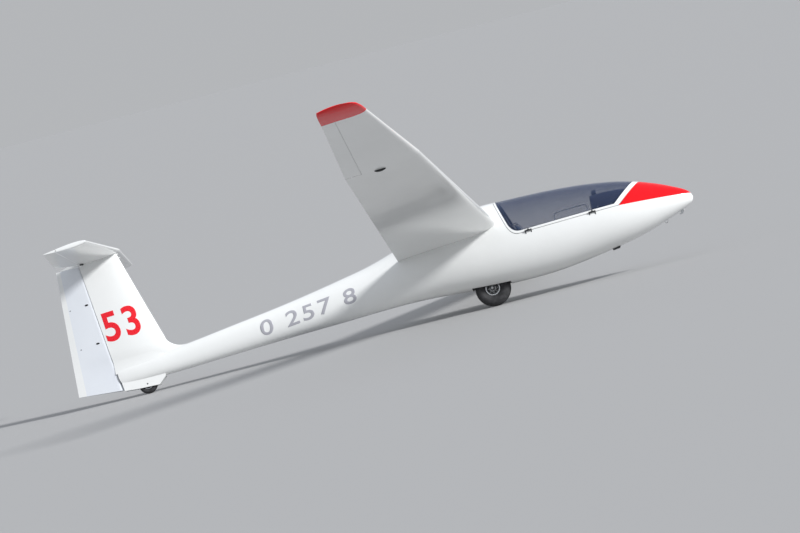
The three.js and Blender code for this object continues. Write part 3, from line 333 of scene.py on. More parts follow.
FINISH = {
    "white": gelcoat("white_gelcoat", (0.84, 0.85, 0.84), (0.80, 0.81, 0.80)),
    # The rudder's bluer grey is painted shade.
    "rudder_shade": gelcoat("rudder_shade_gelcoat", (0.76, 0.79, 0.83), (0.72, 0.75, 0.80)),
    "red": gelcoat("red_gelcoat", (0.78, 0.010, 0.016), (0.70, 0.008, 0.013), shine=0.12),
    # Dark grey for the wheel well, the tail's hollow and the aileron's ends: painted shade of those recesses,
    # with real specks.
    "recess_shade": speckled("recess_painted_shade", (0.16, 0.165, 0.17), (0.24, 0.245, 0.25), 300),
    "lining": speckled("cockpit_lining", (0.30, 0.31, 0.33), (0.42, 0.43, 0.45)),
    "crackle": speckled("black_crackle", (0.018, 0.019, 0.022), (0.045, 0.047, 0.052), 500, 0.7),
    "shield": speckled("shield_cloth", (0.016, 0.020, 0.050), (0.030, 0.036, 0.075), 700, 0.85),
    "acrylic": acrylic("canopy_acrylic", 0.22, (0.008, 0.030, 0.105)),
    "acrylic_clear": acrylic("lens_acrylic", 0.25, (0.45, 0.50, 0.55)),
    "gaiter": rubber("gaiter_leather", (0.030, 0.028, 0.028)),
    "grip": rubber("grip_rubber", (0.022, 0.022, 0.024)),
    "dial_black": plain_paint("dial_black", (0.010, 0.010, 0.011), 0.6),
    "tyre": rubber("tyre_rubber"),
    # Near-black rubber: real edging on the glare shield, and painted shade in the hinge hollows, the gaps and
    # the airbrake slot.
    "seal_and_gap_shade": rubber("seal_rubber_and_gap_shade", (0.012, 0.012, 0.013)),
    # Pale rim of the sliding window: a real rim, with its paleness a painted highlight of its lit edges.
    "window_rim_highlight": plain_paint("window_rim_painted_highlight", (0.82, 0.86, 0.92), 0.25),
    "brake_paint": plain_paint("brake_paint", (0.60, 0.61, 0.62), 0.35),
    "dark_disc": plain_paint("wheel_disc_paint", (0.045, 0.047, 0.050), 0.45),
    "alloy": metal("turned_alloy", (0.70, 0.71, 0.72), (0.18, 0.35), (1, 6, 1)),
    "steel": metal("satin_steel", (0.50, 0.51, 0.52), (0.28, 0.48)),
    "cushion": cloth("cushion_cloth", (0.050, 0.085, 0.16), (0.035, 0.060, 0.12)),
    "webbing": cloth("harness_webbing", (0.10, 0.13, 0.22), (0.07, 0.09, 0.16)),
    "red_marking": plain_paint("red_marking", (0.80, 0.008, 0.020), 0.3),
    "grey_marking": plain_paint("grey_marking", (0.40, 0.40, 0.44), 0.3),
    # Black plastic for real dark parts, and painted shade on the crank fairings.
    "black_and_shade": plain_paint("black_plastic_and_shade", (0.014, 0.015, 0.017), 0.35),
    "dial_white": plain_paint("dial_white", (0.80, 0.80, 0.76), 0.5),
    "blue": plain_paint("blue_handle", (0.020, 0.095, 0.44)),
    "green": plain_paint("green_handle", (0.02, 0.24, 0.06)),
    "yellow": plain_paint("yellow_handle", (0.85, 0.55, 0.03)),
}
print(len(FINISH), "finishes")

# %% [markdown]
# ## From grids to pieces
#
# Every surface here is a grid of points. Neighbours in the grid make quads, and grids that meet share
# the points on their common edge, which are welded. A grid can close on itself along its rows or its
# columns, and a mask leaves quads out where the skin has a hole. Rigid bars, discs and slabs come from
# the same few helpers.

# %% Grid helpers
WELD = 2e-5  # points closer than this are one point
SIDES = ((1, "left"), (-1, "right"))  # sign of y and name of each side


def stacked(*parts):
    """Coordinates, each a number or an array, as one array of points."""
    return np.stack(np.broadcast_arrays(*parts), -1)


def patch(points, wrap_rows=False, wrap_columns=False, finish=0, keep=None):
    """Grid points (rows, columns, 3) with quads between neighbours: (points, faces, finish)."""
    rows, columns = points.shape[:2]
    i = np.arange(rows if wrap_rows else rows - 1)[:, None]
    j = np.arange(columns if wrap_columns else columns - 1)[None, :]
    after_i, after_j = (i + 1) % rows, (j + 1) % columns
    corners = [i * columns + j, i * columns + after_j, after_i * columns + after_j, after_i * columns + j]
    faces = stacked(*corners)
    faces = faces.reshape(-1, 4) if keep is None else faces[keep]
    return points.reshape(-1, 3), faces.tolist(), finish


def lid(loop, finish=0):
    """One flat face over a closed loop of points."""
    return np.asarray(loop), [list(range(len(loop)))], finish


def slab(top, bottom, finish=0):
    """Closed body between two grids of the same shape."""
    sides = [np.stack([top[:, k], bottom[:, k]], 1) for k in (0, -1)]
    ends = [np.stack([top[k], bottom[k]], 1) for k in (0, -1)]
    return [patch(grid, finish=finish) for grid in (top, bottom, *sides, *ends)]


def mirrored(points):
    """The same points on the other side of the machine."""
    return points * np.array([1, -1, 1])


def both_sides(points, **facts):
    return [patch(points, **facts), patch(mirrored(points), **facts)]


def weld(mesh):
    """Joins points that coincide, drops faces without area and turns the others outwards."""
    work = bmesh.new()
    work.from_mesh(mesh)
    bmesh.ops.remove_doubles(work, verts=work.verts, dist=WELD)
    bmesh.ops.dissolve_degenerate(work, edges=work.edges, dist=WELD)
    bmesh.ops.recalc_face_normals(work, faces=work.faces)
    work.to_mesh(mesh)
    work.free()


def make_piece(name, patches, finishes, body, stands_for=(), sharp=35):
    """Welds patches of level points into one mesh in the parked frame, and hands it to a body."""
    points, faces, marks = [], [], []
    count = 0
    for grid, quads, finish in patches:
        points.append(grid)
        faces += [[index + count for index in face] for face in quads]
        marks += [finish] * len(quads)
        count += len(grid)
    mesh = bpy.data.meshes.new(name)
    mesh.from_pydata(parked(np.concatenate(points)).tolist(), [], faces)
    mesh.polygons.foreach_set("material_index", marks)
    weld(mesh)
    mesh.shade_smooth()
    mesh.set_sharp_from_angle(angle=radians(sharp))
    for finish in finishes:
        mesh.materials.append(FINISH[finish])
    made = linked(name, mesh)
    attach(made, body)
    if stands_for:
        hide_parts(*stands_for)
    return made


def steps(first, last, count):
    return np.linspace(first, last, count)


def round_steps(count):
    """Angles that share out a full turn."""
    return steps(0, 2 * pi, count + 1)[:-1]


def smooth_rows(table, at):
    """The columns of a table as smooth functions of its first column. Between two rows each is the cubic
    whose slope at a row is that of the parabola through the row and its two neighbours."""
    key, values = table[:, 0], table[:, 1:]
    step = np.diff(key)
    slope = np.diff(values, axis=0) / step[:, None]
    weights = step[:-1] + step[1:]
    middle = (slope[:-1] * step[1:, None] + slope[1:] * step[:-1, None]) / weights[:, None]
    tangent = np.concatenate([slope[:1], middle, slope[-1:]])
    i = np.clip(np.searchsorted(key, at) - 1, 0, len(step) - 1)
    h = step[i][..., None]
    t = ((at - key[i]) / step[i])[..., None]
    start = values[i] * (1 + 2 * t) * (1 - t) ** 2 + tangent[i] * h * t * (1 - t) ** 2
    end = values[i + 1] * t**2 * (3 - 2 * t) + tangent[i + 1] * h * t**2 * (t - 1)
    return start + end


def straight_rows(table, at):
    """The columns of a table, joined by straight lines."""
    return np.stack([np.interp(at, table[:, 0], column) for column in table[:, 1:].T], -1)


# %% [markdown]
# ## The fuselage
#
# The real shell is two moulded halves, so it has no panel lines, only the canopy opening and the wheel
# well. It could be sculpted, or cut with booleans, but cuts leave ragged shading on such a glossy
# shape. Here the section at each station is a superellipse with its own top, bottom, width and waist,
# and the angle round it is one grid direction. The grid's edge follows the canopy opening exactly: at
# each station the skin simply stops at the angle where the opening begins. The red nose field is a band
# of the same grid, so its border is as sharp as paint along tape.

# %% Fuselage sections
# Columns: x, top, bottom, half width, height of the widest point
FUSELAGE = np.array([
    [2.2155, 0.600, 0.600, 0.000, 0.600],
    [2.214, 0.612, 0.588, 0.012, 0.600],
    [2.198, 0.648, 0.556, 0.044, 0.601],
    [2.140, 0.698, 0.521, 0.088, 0.607],
    [2.040, 0.750, 0.479, 0.134, 0.613],
    [1.880, 0.822, 0.422, 0.189, 0.620],
    [1.700, 0.887, 0.364, 0.233, 0.622],
    [1.500, 0.941, 0.314, 0.265, 0.622],
    [1.280, 0.980, 0.274, 0.289, 0.620],
    [1.000, 1.012, 0.232, 0.306, 0.615],
    [0.700, 1.030, 0.198, 0.314, 0.612],
    [0.400, 1.037, 0.188, 0.316, 0.610],
    [0.100, 1.041, 0.192, 0.311, 0.611],
    [-0.150, 1.031, 0.203, 0.299, 0.610],
    [-0.400, 0.988, 0.222, 0.274, 0.600],
    [-0.650, 0.912, 0.238, 0.238, 0.575],
    [-0.900, 0.812, 0.243, 0.200, 0.532],
    [-1.200, 0.722, 0.236, 0.170, 0.485],
    [-1.550, 0.653, 0.222, 0.147, 0.441],
    [-2.150, 0.552, 0.203, 0.117, 0.378],
    [-2.750, 0.471, 0.178, 0.096, 0.324],
    [-3.280, 0.403, 0.153, 0.082, 0.277],
    [-3.650, 0.368, 0.140, 0.071, 0.252],
    [-3.960, 0.345, 0.128, 0.052, 0.236],
    [-4.080, 0.338, 0.122, 0.040, 0.230],
])
POWER = 2.2
NOSE_X = FUSELAGE[0, 0]
FROM_NOSE = np.concatenate([np.sqrt(NOSE_X - FUSELAGE[:, :1]), FUSELAGE[:, 1:]], 1)
WALL = 0.020
COCKPIT_REAR_X = 0.215
COCKPIT_FRONT_X = 1.960


def fuselage_shape(x):
    """Top, bottom, half width and waist at x, smooth in the square root of the distance from the nose,
    in which a round nose is a straight line."""
    return np.moveaxis(smooth_rows(FROM_NOSE, np.sqrt(np.maximum(NOSE_X - x, 0))), -1, 0)


def bent(v):
    return np.sign(v) * np.abs(v) ** (2 / POWER)


def body_point(x, angle, inset=0.0):
    """Superellipse at x: y is the half width times the bent cosine of the angle, and z is the waist plus
    the height above or below it times the bent sine. Angle 0 is port, a right angle is the top."""
    x, angle, inset = np.broadcast_arrays(np.asarray(x, float), angle, inset)
    top, bottom, half, waist = fuselage_shape(x)
    height = np.where(np.sin(angle) > 0, top - waist, waist - bottom)
    y = np.maximum(half - inset, 0) * bent(np.cos(angle))
    z = waist + np.maximum(height - inset, 0) * bent(np.sin(angle))
    return stacked(x, y, z)


def angle_at(x, z, inset=0.0):
    """The port angle at which the section at x is z high."""
    top, bottom, _, waist = fuselage_shape(np.asarray(x, float))
    share = (z - waist) / (np.where(z > waist, top - waist, waist - bottom) - inset)
    share = np.clip(share, -1, 1)
    return np.arcsin(np.sign(share) * np.abs(share) ** (POWER / 2))


def width_at(x, z, inset=0.0):
    """Half width of the body at that station and height."""
    return body_point(x, angle_at(x, z, inset), inset)[..., 1]


# %% Canopy opening, seen from the side
REAR_LINE = {"x": 0.298, "z": 0.750, "lean": (0.298 - 0.203) / (1.040 - 0.750)}
SILL_LINE = {"x": 0.390, "z": 0.629, "rise": (0.666 - 0.629) / (1.476 - 0.390)}
FRONT_LINE = {"x": 1.476, "z": 0.666, "lean": (1.722 - 1.476) / (0.886 - 0.666)}
CORNER = {"x": 0.418, "z": 0.762, "pull": 0.006}  # where the rear corner's curve ends, and how full it is


def opening_edge(rear_in, sill_in, front_in):
    """Port edge of the opening, drawn inwards by three amounts, as (x, angle) from the top behind the
    seat to the top ahead of the panel. The rear and front edges are found on the curved skin by stepping
    x to the line a few times, the corner is a quadratic curve, and the sill is straight."""

    def rear_x(z):
        away = rear_in * np.hypot(1, REAR_LINE["lean"])
        return REAR_LINE["x"] + away + (REAR_LINE["z"] - z) * REAR_LINE["lean"]

    def sill_z(x):
        away = sill_in * np.hypot(1, SILL_LINE["rise"])
        return SILL_LINE["z"] + away + (x - SILL_LINE["x"]) * SILL_LINE["rise"]

    def front_x(z):
        away = front_in * np.hypot(1, FRONT_LINE["lean"])
        return FRONT_LINE["x"] - away + (z - FRONT_LINE["z"]) * FRONT_LINE["lean"]

    def on_line(line_x, angles, x):
        for _ in range(12):
            x = line_x(body_point(x, angles)[..., 2])
        return x

    corner_x, corner_z = CORNER["x"] + rear_in, CORNER["z"] + sill_in / 2
    front_corner = front_x(sill_z(front_x(FRONT_LINE["z"])))
    rear_angles = steps(pi / 2, angle_at(rear_x(corner_z), corner_z), 26)
    rear = on_line(rear_x, rear_angles, np.full(26, REAR_LINE["x"]))
    t = steps(0, 1, 14)[1:-1]
    bend = [rear_x(sill_z(corner_x)) - CORNER["pull"], sill_z(corner_x)]
    corner = [
        (1 - t) ** 2 * a + 2 * t * (1 - t) * b + t**2 * c
        for a, b, c in zip([rear_x(corner_z), corner_z], bend, [corner_x, sill_z(corner_x)])
    ]
    sill = steps(corner_x, front_corner, 64)
    front_angles = steps(angle_at(front_corner, sill_z(front_corner)), pi / 2, 30)[1:]
    front = on_line(front_x, front_angles, np.full(29, FRONT_LINE["x"]))
    x = np.concatenate([rear, corner[0], sill, front])
    angle = np.concatenate([rear_angles, angle_at(*corner), angle_at(sill, sill_z(sill)), front_angles])
    return x, angle


shell_edge = opening_edge(0, 0, 0)
print("opening from x", round(shell_edge[0][0], 3), "to", round(shell_edge[0][-1], 3))

# %% Fuselage skin
WELL = {"x": 0.203, "y": 0.100, "top": 0.425}
RED_LINE = {"x1": 1.476, "z1": 0.666, "x2": 2.200, "z2": 0.640}
RUDDER_LOW = {"x": -4.011, "z": 0.169, "r": 0.052}
RUDDER_HIGH = {"x": -4.161, "z": 1.477, "r": 0.030}
MOVE_GAP = 0.005
TAIL_START_X = -3.60


def rudder_hinge(z):
    """x of the rudder's hinge line and the radius of its nose, at a height."""
    share = (z - RUDDER_LOW["z"]) / (RUDDER_HIGH["z"] - RUDDER_LOW["z"])
    x = RUDDER_LOW["x"] + share * (RUDDER_HIGH["x"] - RUDDER_LOW["x"])
    return x, RUDDER_LOW["r"] + share * (RUDDER_HIGH["r"] - RUDDER_LOW["r"])


def cove_x(y, z):
    """How far back the fixed tail reaches: the round hollow that the rudder's nose turns in."""
    x, radius = rudder_hinge(z)
    return x + np.sqrt(np.maximum((radius + MOVE_GAP) ** 2 - y**2, 0))


def well_angle(x):
    """Port angle of the wheel well's edge, and of the line that carries it on fore and aft."""
    half = fuselage_shape(x)[2]
    across = np.minimum(WELL["y"], 0.55 * half) / np.maximum(half, 1e-6)
    return -np.arccos(across ** (POWER / 2))


def fuselage_stations():
    """x of each ring, and the port angles where the white skin and the red field end."""
    aft = steps(TAIL_START_X, -WELL["x"], 90)
    middle = steps(-WELL["x"], WELL["x"], 25)[1:]
    past = steps(WELL["x"], shell_edge[0][0], 3)[1:-1]
    ahead = NOSE_X - steps(np.sqrt(NOSE_X - shell_edge[0][-1]), 0, 52)[1:] ** 2
    closed = np.concatenate([aft, middle, past])
    x = np.concatenate([closed, shell_edge[0], ahead])
    edge = np.concatenate([np.full(len(closed), pi / 2), shell_edge[1], np.full(len(ahead), pi / 2)])
    rise = (RED_LINE["z2"] - RED_LINE["z1"]) / (RED_LINE["x2"] - RED_LINE["x1"])
    red = angle_at(x, RED_LINE["z1"] + (x - RED_LINE["x1"]) * rise)
    red[-1] = pi / 2
    split = np.where(x < RED_LINE["x1"], edge, np.minimum(red, edge))
    return x, edge, split


def tail_end(angles):
    """Points where the skin meets the rudder's hollow, found by stepping x to it a few times."""
    end = body_point(TAIL_START_X, angles)
    for _ in range(6):
        end = body_point(cove_x(end[..., 1], end[..., 2]), angles)
    return end


def tail_rows(angles):
    """Skin from the last plain ring back to that hollow."""
    share = steps(0, 1, 16)[:, None]
    return body_point(TAIL_START_X + (tail_end(angles)[..., 0] - TAIL_START_X) * share, angles)


def fuselage_piece():
    x, edge, split = fuselage_stations()
    low = well_angle(x)
    across = steps(0, 1, 46)[None, :]
    side = body_point(x[:, None], low[:, None] + (split - low)[:, None] * across)
    patches = both_sides(side)
    belly_angles = low[:, None] + (-pi - 2 * low)[:, None] * steps(0, 1, 13)[None, :]
    belly = body_point(x[:, None], belly_angles)
    inside_well = np.abs((x[1:] + x[:-1]) / 2) < WELL["x"]
    patches.append(patch(belly, keep=np.repeat(~inside_well[:, None], 12, 1)))

    fore = x >= RED_LINE["x1"]
    fore[np.argmax(fore) - 1] = True
    red_angles = split[fore, None] + (edge - split)[fore, None] * steps(0, 1, 30)[None, :]
    patches += both_sides(body_point(x[fore, None], red_angles), finish=1)

    patches += both_sides(tail_rows(low[0] + (pi / 2 - low[0]) * across))
    patches.append(patch(tail_rows(belly_angles[:1])))
    rim = tail_end(steps(-pi / 2, pi / 2, 60))
    y = rim[:, 1:2] * steps(-1, 1, 15)[None, :]
    z = np.repeat(rim[:, 2:3], 15, 1)
    # The hollow at the tail's end is dark grey: painted shade.
    patches.append(patch(stacked(cove_x(y, z), y, z), finish=2))
    return patches + well_patches(x[np.abs(x) <= WELL["x"] + 1e-9]) + lining_patches()


def well_patches(x):
    """Walls and roof of the wheel well, up from the belly's edge, in a dark grey that is painted shade."""
    y = steps(-WELL["y"], WELL["y"], 13)
    foot = body_point(x, well_angle(x))
    wall = np.stack([foot, foot * [1, 1, 0] + [0, 0, WELL["top"]]], 0)
    patches = both_sides(wall, finish=2)
    for end in (-WELL["x"], WELL["x"]):
        low = well_angle(np.array([end]))[0]
        belly = body_point(end, low + (-pi - 2 * low) * steps(0, 1, 13))
        patches.append(patch(np.stack([belly, belly * [1, 1, 0] + [0, 0, WELL["top"]]], 0), finish=2))
    roof = stacked(x[:, None], y[None, :], WELL["top"])
    patches.append(patch(roof, finish=2))
    return patches


def lining_patches():
    """Inner face of the cockpit wall, and the rim between it and the outer skin round the opening."""
    x, angle = shell_edge
    inside = x > COCKPIT_REAR_X + WALL
    x, angle = x[inside], angle[inside]
    ahead = steps(x[-1], COCKPIT_FRONT_X, 14)[1:]
    x_all = np.concatenate([x, ahead])
    edge = np.concatenate([angle, np.full(len(ahead), pi / 2)])
    angles = -pi / 2 + (edge + pi / 2)[:, None] * steps(0, 1, 48)[None, :]
    inner = body_point(x_all[:, None], angles, WALL)
    patches = both_sides(inner, finish=3)
    front = inner[-1]
    patches.append(patch(np.stack([front, mirrored(front)], 1), finish=3))
    x, angle = shell_edge
    rim = body_point(x[:, None], angle[:, None], WALL * steps(0, 1, 4)[None, :])
    return patches + both_sides(rim)


fuselage = make_piece(
    "fuselage_skin",
    fuselage_piece(),
    ["white", "red", "recess_shade", "lining"],
    "airframe",
    ["cockpit_shell", "centre_fuselage", "tail_boom"],
    sharp=50,
)
print("fuselage skin:", len(fuselage.data.polygons), "faces")

# %% [markdown]
# ## Wings and tail surfaces
#
# Every lifting surface is the same idea: a four-digit section, carried along a span while its chord and
# thickness change. The moving part turns about a hinge line inside the section. It has a round nose about
# that line, and the fixed part ends in a hollow of a slightly larger radius, so a thin dark gap shows and
# opens evenly when the surface swings. The hollow is near-black, painted shade that deepens the gap.
# Both are closed loops of points, one loop for each span station.
# The fin's leading edge runs out along the boom in a low ridge. The rudder's skin is a bluer grey than
# the others, which is painted shade, up to a strip along its trailing edge that keeps their white.

# %% Sections and loops
BLUNT = 0.002  # half thickness of a trailing edge


def half_thickness(share, ratio):
    """The four-digit formula: a square root for the round nose and a quartic for the rest."""
    quartic = -0.126 * share - 0.3516 * share**2 + 0.2843 * share**3 - 0.1036 * share**4
    return 5 * ratio * (0.2969 * np.sqrt(share) + quartic)


def arc_between(start, end, centre, count):
    """Points from start to end round a centre, the ends left out. Radius and angle change evenly."""

    def polar(point):
        away = point - centre
        return np.hypot(away[..., 0], away[..., 1]), np.arctan2(away[..., 1], away[..., 0])

    turn = steps(0, 1, count + 2)[1:-1]
    (radius_1, angle_1), (radius_2, angle_2) = polar(start), polar(end)
    radius = radius_1[:, None] + (radius_2 - radius_1)[:, None] * turn
    angle = angle_1[:, None] + (angle_2 - angle_1)[:, None] * turn
    return centre[:, None] + stacked(radius * np.cos(angle), radius * np.sin(angle))


def ends_of(skin, span):
    return skin(span, 0 * span, 1)[..., 0], skin(span, 0 * span + 1, 1)[..., 0]


def whole_loop(skin, span, upper, lower):
    """Section from the trailing edge over the top to the nose and back below."""
    return np.concatenate([skin(span, upper, 1), skin(span, lower[:, 1:], -1)], 1)


def front_loop(skin, span, hinge, gap, count=26):
    """Section of a fixed part: from the upper edge of its hollow over the nose to the lower edge, and
    back through the hollow, an arc about the hinge line."""
    x, z, radius = hinge(span)
    front, rear = ends_of(skin, span)
    reach = (front - x - np.sqrt((radius + gap) ** 2 - radius**2)) / (front - rear)
    spread = 1 - np.cos(steps(0, pi / 2, count))
    upper = skin(span[:, None], reach[:, None] * spread[::-1], 1)
    lower = skin(span[:, None], reach[:, None] * spread[1:], -1)
    hollow = arc_between(lower[:, -1], upper[:, 0], stacked(x, z), 11)
    return np.concatenate([upper, lower, hollow], 1)


def rear_loop(skin, span_at, hinge, count=22):
    """Section of a moving part: its skins back from the hinge line, and a round nose that joins them.
    span_at gives the span at each share of the way back, so that its ends can be cut slanting."""
    back = steps(0, 1, count)
    span = span_at(back)
    x, z, _ = hinge(span)
    front, rear = ends_of(skin, span)
    at_hinge = (front - x) / (front - rear)
    share = at_hinge + (1 - at_hinge) * back
    upper, lower = skin(span, share, 1), skin(span, share, -1)
    nose = arc_between(upper[:, 0], lower[:, 0], stacked(x[:, 0], z[:, 0]), 13)
    loop = np.concatenate([upper[:, ::-1], nose, lower], 1)
    return loop, np.concatenate([span[:, ::-1], np.repeat(span[:, :1], 13, 1), span], 1)


def closed_body(points, finish=0, skin=None, ends=None):
    """Loops of points joined round, with a lid on the first and the last loop. From the column named skin
    on, a loop runs inside a gap and has the second finish. The lids may have a finish of their own."""
    keep = np.ones((len(points) - 1, points.shape[1]), bool)
    keep[:, skin if skin else points.shape[1] :] = False
    patches = [patch(points, wrap_columns=True, finish=finish, keep=keep)]
    if skin:
        patches.append(patch(points, wrap_columns=True, finish=1, keep=~keep))
    ends = finish if ends is None else ends
    return patches + [lid(points[0], ends), lid(points[-1], ends)]


HOLLOW = 50  # the first column of a front loop's hollow


# %% Wing
DIHEDRAL = radians(3.6)
INCIDENCE = radians(7.0)
WING_ROOT_Z = 0.794
WING_CAMBER = 0.03
TIP_Y = 7.5 / cos(DIHEDRAL)
# Columns: y, leading edge x, trailing edge x, thickness over chord
WING = np.array([
    [0.180, 0.213, -0.871, 0.158],
    [4.660, 0.097, -0.655, 0.155],
    [7.050, -0.025, -0.462, 0.150],
])
WING_TIP = np.array([
    [7.0503, -0.025, -0.462, 0.150],
    [7.300, -0.044, -0.446, 0.135],
    [7.420, -0.070, -0.437, 0.100],
    [7.480, -0.112, -0.430, 0.055],
    [TIP_Y, -0.180, -0.422, 0.020],
])
AILERON = {"y1": 4.660, "y2": 7.050, "chord1": 0.150, "chord2": 0.118, "gap": 0.004}
BRAKE = {"y1": 2.450, "y2": 3.650, "x": -0.330, "width": 0.060, "cap": 0.009}
BRAKE_SLOT = {"gap": 0.003, "depth": 0.070}
BRAKE_BLADE = {"width": 0.014, "ends": 0.012, "low": -0.066}


def wing_section(front, rear, ratio, share, side):
    chord = front - rear
    rise = 4 * WING_CAMBER * share * (1 - share) + side * half_thickness(share, ratio)
    z = chord * rise + side * BLUNT * share - chord * share * sin(INCIDENCE)
    return stacked(front - chord * share, z)


def wing_skin(span, share, side):
    return wing_section(*np.moveaxis(straight_rows(WING, span), -1, 0), share, side)


def tip_skin(span, share, side):
    return wing_section(*np.moveaxis(smooth_rows(WING_TIP, span), -1, 0), share, side)


def place_wing(span, local, port, drop=0.0):
    """Flat wing points turned up by the dihedral about the root, and mirrored for the starboard wing."""
    y, x, z = np.broadcast_arrays(span, local[..., 0], local[..., 1] - drop)
    across = y * cos(DIHEDRAL) - z * sin(DIHEDRAL)
    return stacked(x, port * across, y * sin(DIHEDRAL) + z * cos(DIHEDRAL) + WING_ROOT_Z)


def aileron_hinge(span):
    """x, z and nose radius, straight between the section's middle at the aileron's two ends."""
    found = []
    for y, chord_back in ((AILERON["y1"], AILERON["chord1"]), (AILERON["y2"], AILERON["chord2"])):
        front, rear, ratio = straight_rows(WING, np.array(y))
        chord = front - rear
        share = 1 - chord_back / chord
        z = chord * (4 * WING_CAMBER * share * (1 - share) - share * sin(INCIDENCE))
        found.append([front - chord * share, z, chord * half_thickness(share, ratio) + BLUNT * share])
    inner, outer = np.array(found)
    t = ((span - AILERON["y1"]) / (AILERON["y2"] - AILERON["y1"]))[..., None]
    return np.moveaxis(inner + (outer - inner) * t, -1, 0)


def brake_shares(span, half_width):
    """Chord shares of the lines half_width behind and ahead of the airbrake's middle."""
    front, rear = ends_of(wing_skin, span)
    return [(front - BRAKE["x"] + way * half_width) / (front - rear) for way in (1, -1)]


def inner_wing(port):
    """Root to aileron, with a slot in the upper skin that the airbrake's cap closes."""
    slot_1, slot_2 = BRAKE["y1"] - BRAKE_SLOT["gap"], BRAKE["y2"] + BRAKE_SLOT["gap"]
    root, aileron = WING[0, 0], AILERON["y1"]
    parts = [steps(root, slot_1, 30), steps(slot_1, slot_2, 14)[1:], steps(slot_2, aileron, 14)[1:]]
    span = np.concatenate(parts)
    behind, ahead = brake_shares(span, BRAKE["width"] / 2 + BRAKE_SLOT["gap"])
    rear_part = 1 + (behind - 1)[:, None] * steps(0, 1, 14)
    slot_part = behind[:, None] + (ahead - behind)[:, None] * steps(0, 1, 4)[1:]
    nose_part = ahead[:, None] * np.cos(steps(0, pi / 2, 24)[1:])[None, :] ** 1.5
    upper = np.concatenate([rear_part, slot_part, nose_part], 1)
    spread = (1 - np.cos(steps(0, pi / 2, 40)))[None, :] + 0 * span[:, None]
    points = place_wing(span[:, None], whole_loop(wing_skin, span[:, None], upper, spread), port)
    keep = np.ones((len(span) - 1, points.shape[1]), bool)
    in_slot = (span[1:] > slot_1 + 1e-6) & (span[:-1] < slot_2 - 1e-6)
    first = rear_part.shape[1] - 1
    last = first + slot_part.shape[1]
    keep[in_slot, first:last] = False
    skin = patch(points, wrap_columns=True, keep=keep)

    rows = np.nonzero(in_slot)[0]
    slot = slice(rows[0], rows[-1] + 2)
    shares = upper[slot, first : last + 1]
    top = place_wing(span[slot, None], wing_skin(span[slot, None], shares, 1), port)
    floor = place_wing(span[slot, None], wing_skin(span[slot, None], shares, 1), port, BRAKE_SLOT["depth"])
    # The slot's walls are near-black: painted shade.
    walls = slab(top, floor, finish=1)[1:]
    return [skin, lid(points[-1], 1), lid(points[0])] + walls


def wing_piece(name, port):
    outer_span = steps(AILERON["y1"], AILERON["y2"], 28)
    outer = front_loop(wing_skin, outer_span, aileron_hinge, AILERON["gap"])
    patches = inner_wing(port) + closed_body(place_wing(outer_span[:, None], outer, port), skin=HOLLOW)
    # The hollow, the end beside the aileron and the slot's walls take the near-black second finish: painted
    # shade.
    finishes = ["white", "seal_and_gap_shade"]
    return make_piece(f"wing_skin_{name}", patches, finishes, "airframe", [f"wing_{name}"])


def aileron_piece(name, port):
    span = steps(AILERON["y1"] + AILERON["gap"], AILERON["y2"] - AILERON["gap"], 28)
    loop, spans = rear_loop(wing_skin, lambda back: span[:, None] + 0 * back, aileron_hinge)
    # The aileron's ends are dark grey: painted shade of the gaps beside them.
    patches = closed_body(place_wing(spans, loop, port), ends=1)
    body = f"aileron_{name}"
    return make_piece(f"aileron_skin_{name}", patches, ["white", "recess_shade"], body, [body])


def tip_piece(name, port):
    """Rounded cap: stations crowd towards the end, where the outline and the thickness turn fastest."""
    span = WING_TIP[0, 0] + (TIP_Y - WING_TIP[0, 0]) * np.sin(steps(0, pi / 2, 34))
    spread = (1 - np.cos(steps(0, pi / 2, 40)))[None, :] + 0 * span[:, None]
    loop = whole_loop(tip_skin, span[:, None], spread[:, ::-1], spread)
    patches = closed_body(place_wing(span[:, None], loop, port))
    return make_piece(f"tip_cap_{name}", patches, ["red"], "airframe", [f"wing_tip_{name}"])


def airbrake_piece(name, port):
    """A cap that fills the slot, on the blade that lifts it."""
    span = steps(BRAKE["y1"], BRAKE["y2"], 14)
    behind, ahead = brake_shares(span, BRAKE["width"] / 2)
    cap_shares = behind[:, None] + (ahead - behind)[:, None] * steps(0, 1, 5)
    cap = wing_skin(span[:, None], cap_shares, 1)
    top, under = [place_wing(span[:, None], cap, port, drop) for drop in (0, BRAKE["cap"])]
    blade_span = steps(BRAKE["y1"] + BRAKE_BLADE["ends"], BRAKE["y2"] - BRAKE_BLADE["ends"], 14)
    behind, ahead = brake_shares(blade_span, BRAKE_BLADE["width"] / 2)
    blade = wing_skin(blade_span[:, None], np.stack([behind, ahead], 1), 1)
    foot = blade * [1, 0] + [0, BRAKE_BLADE["low"]]
    upper = place_wing(blade_span[:, None], blade, port, BRAKE["cap"])
    lower = place_wing(blade_span[:, None], foot, port)
    body = f"airbrake_{name}"
    patches = slab(top, under) + slab(upper, lower, finish=1)
    return make_piece(
        f"airbrake_cap_{name}", patches, ["white", "brake_paint"], body, [body]
    )


for port, name in SIDES:
    for make in (wing_piece, aileron_piece, tip_piece, airbrake_piece):
        print(make(name, port).name)

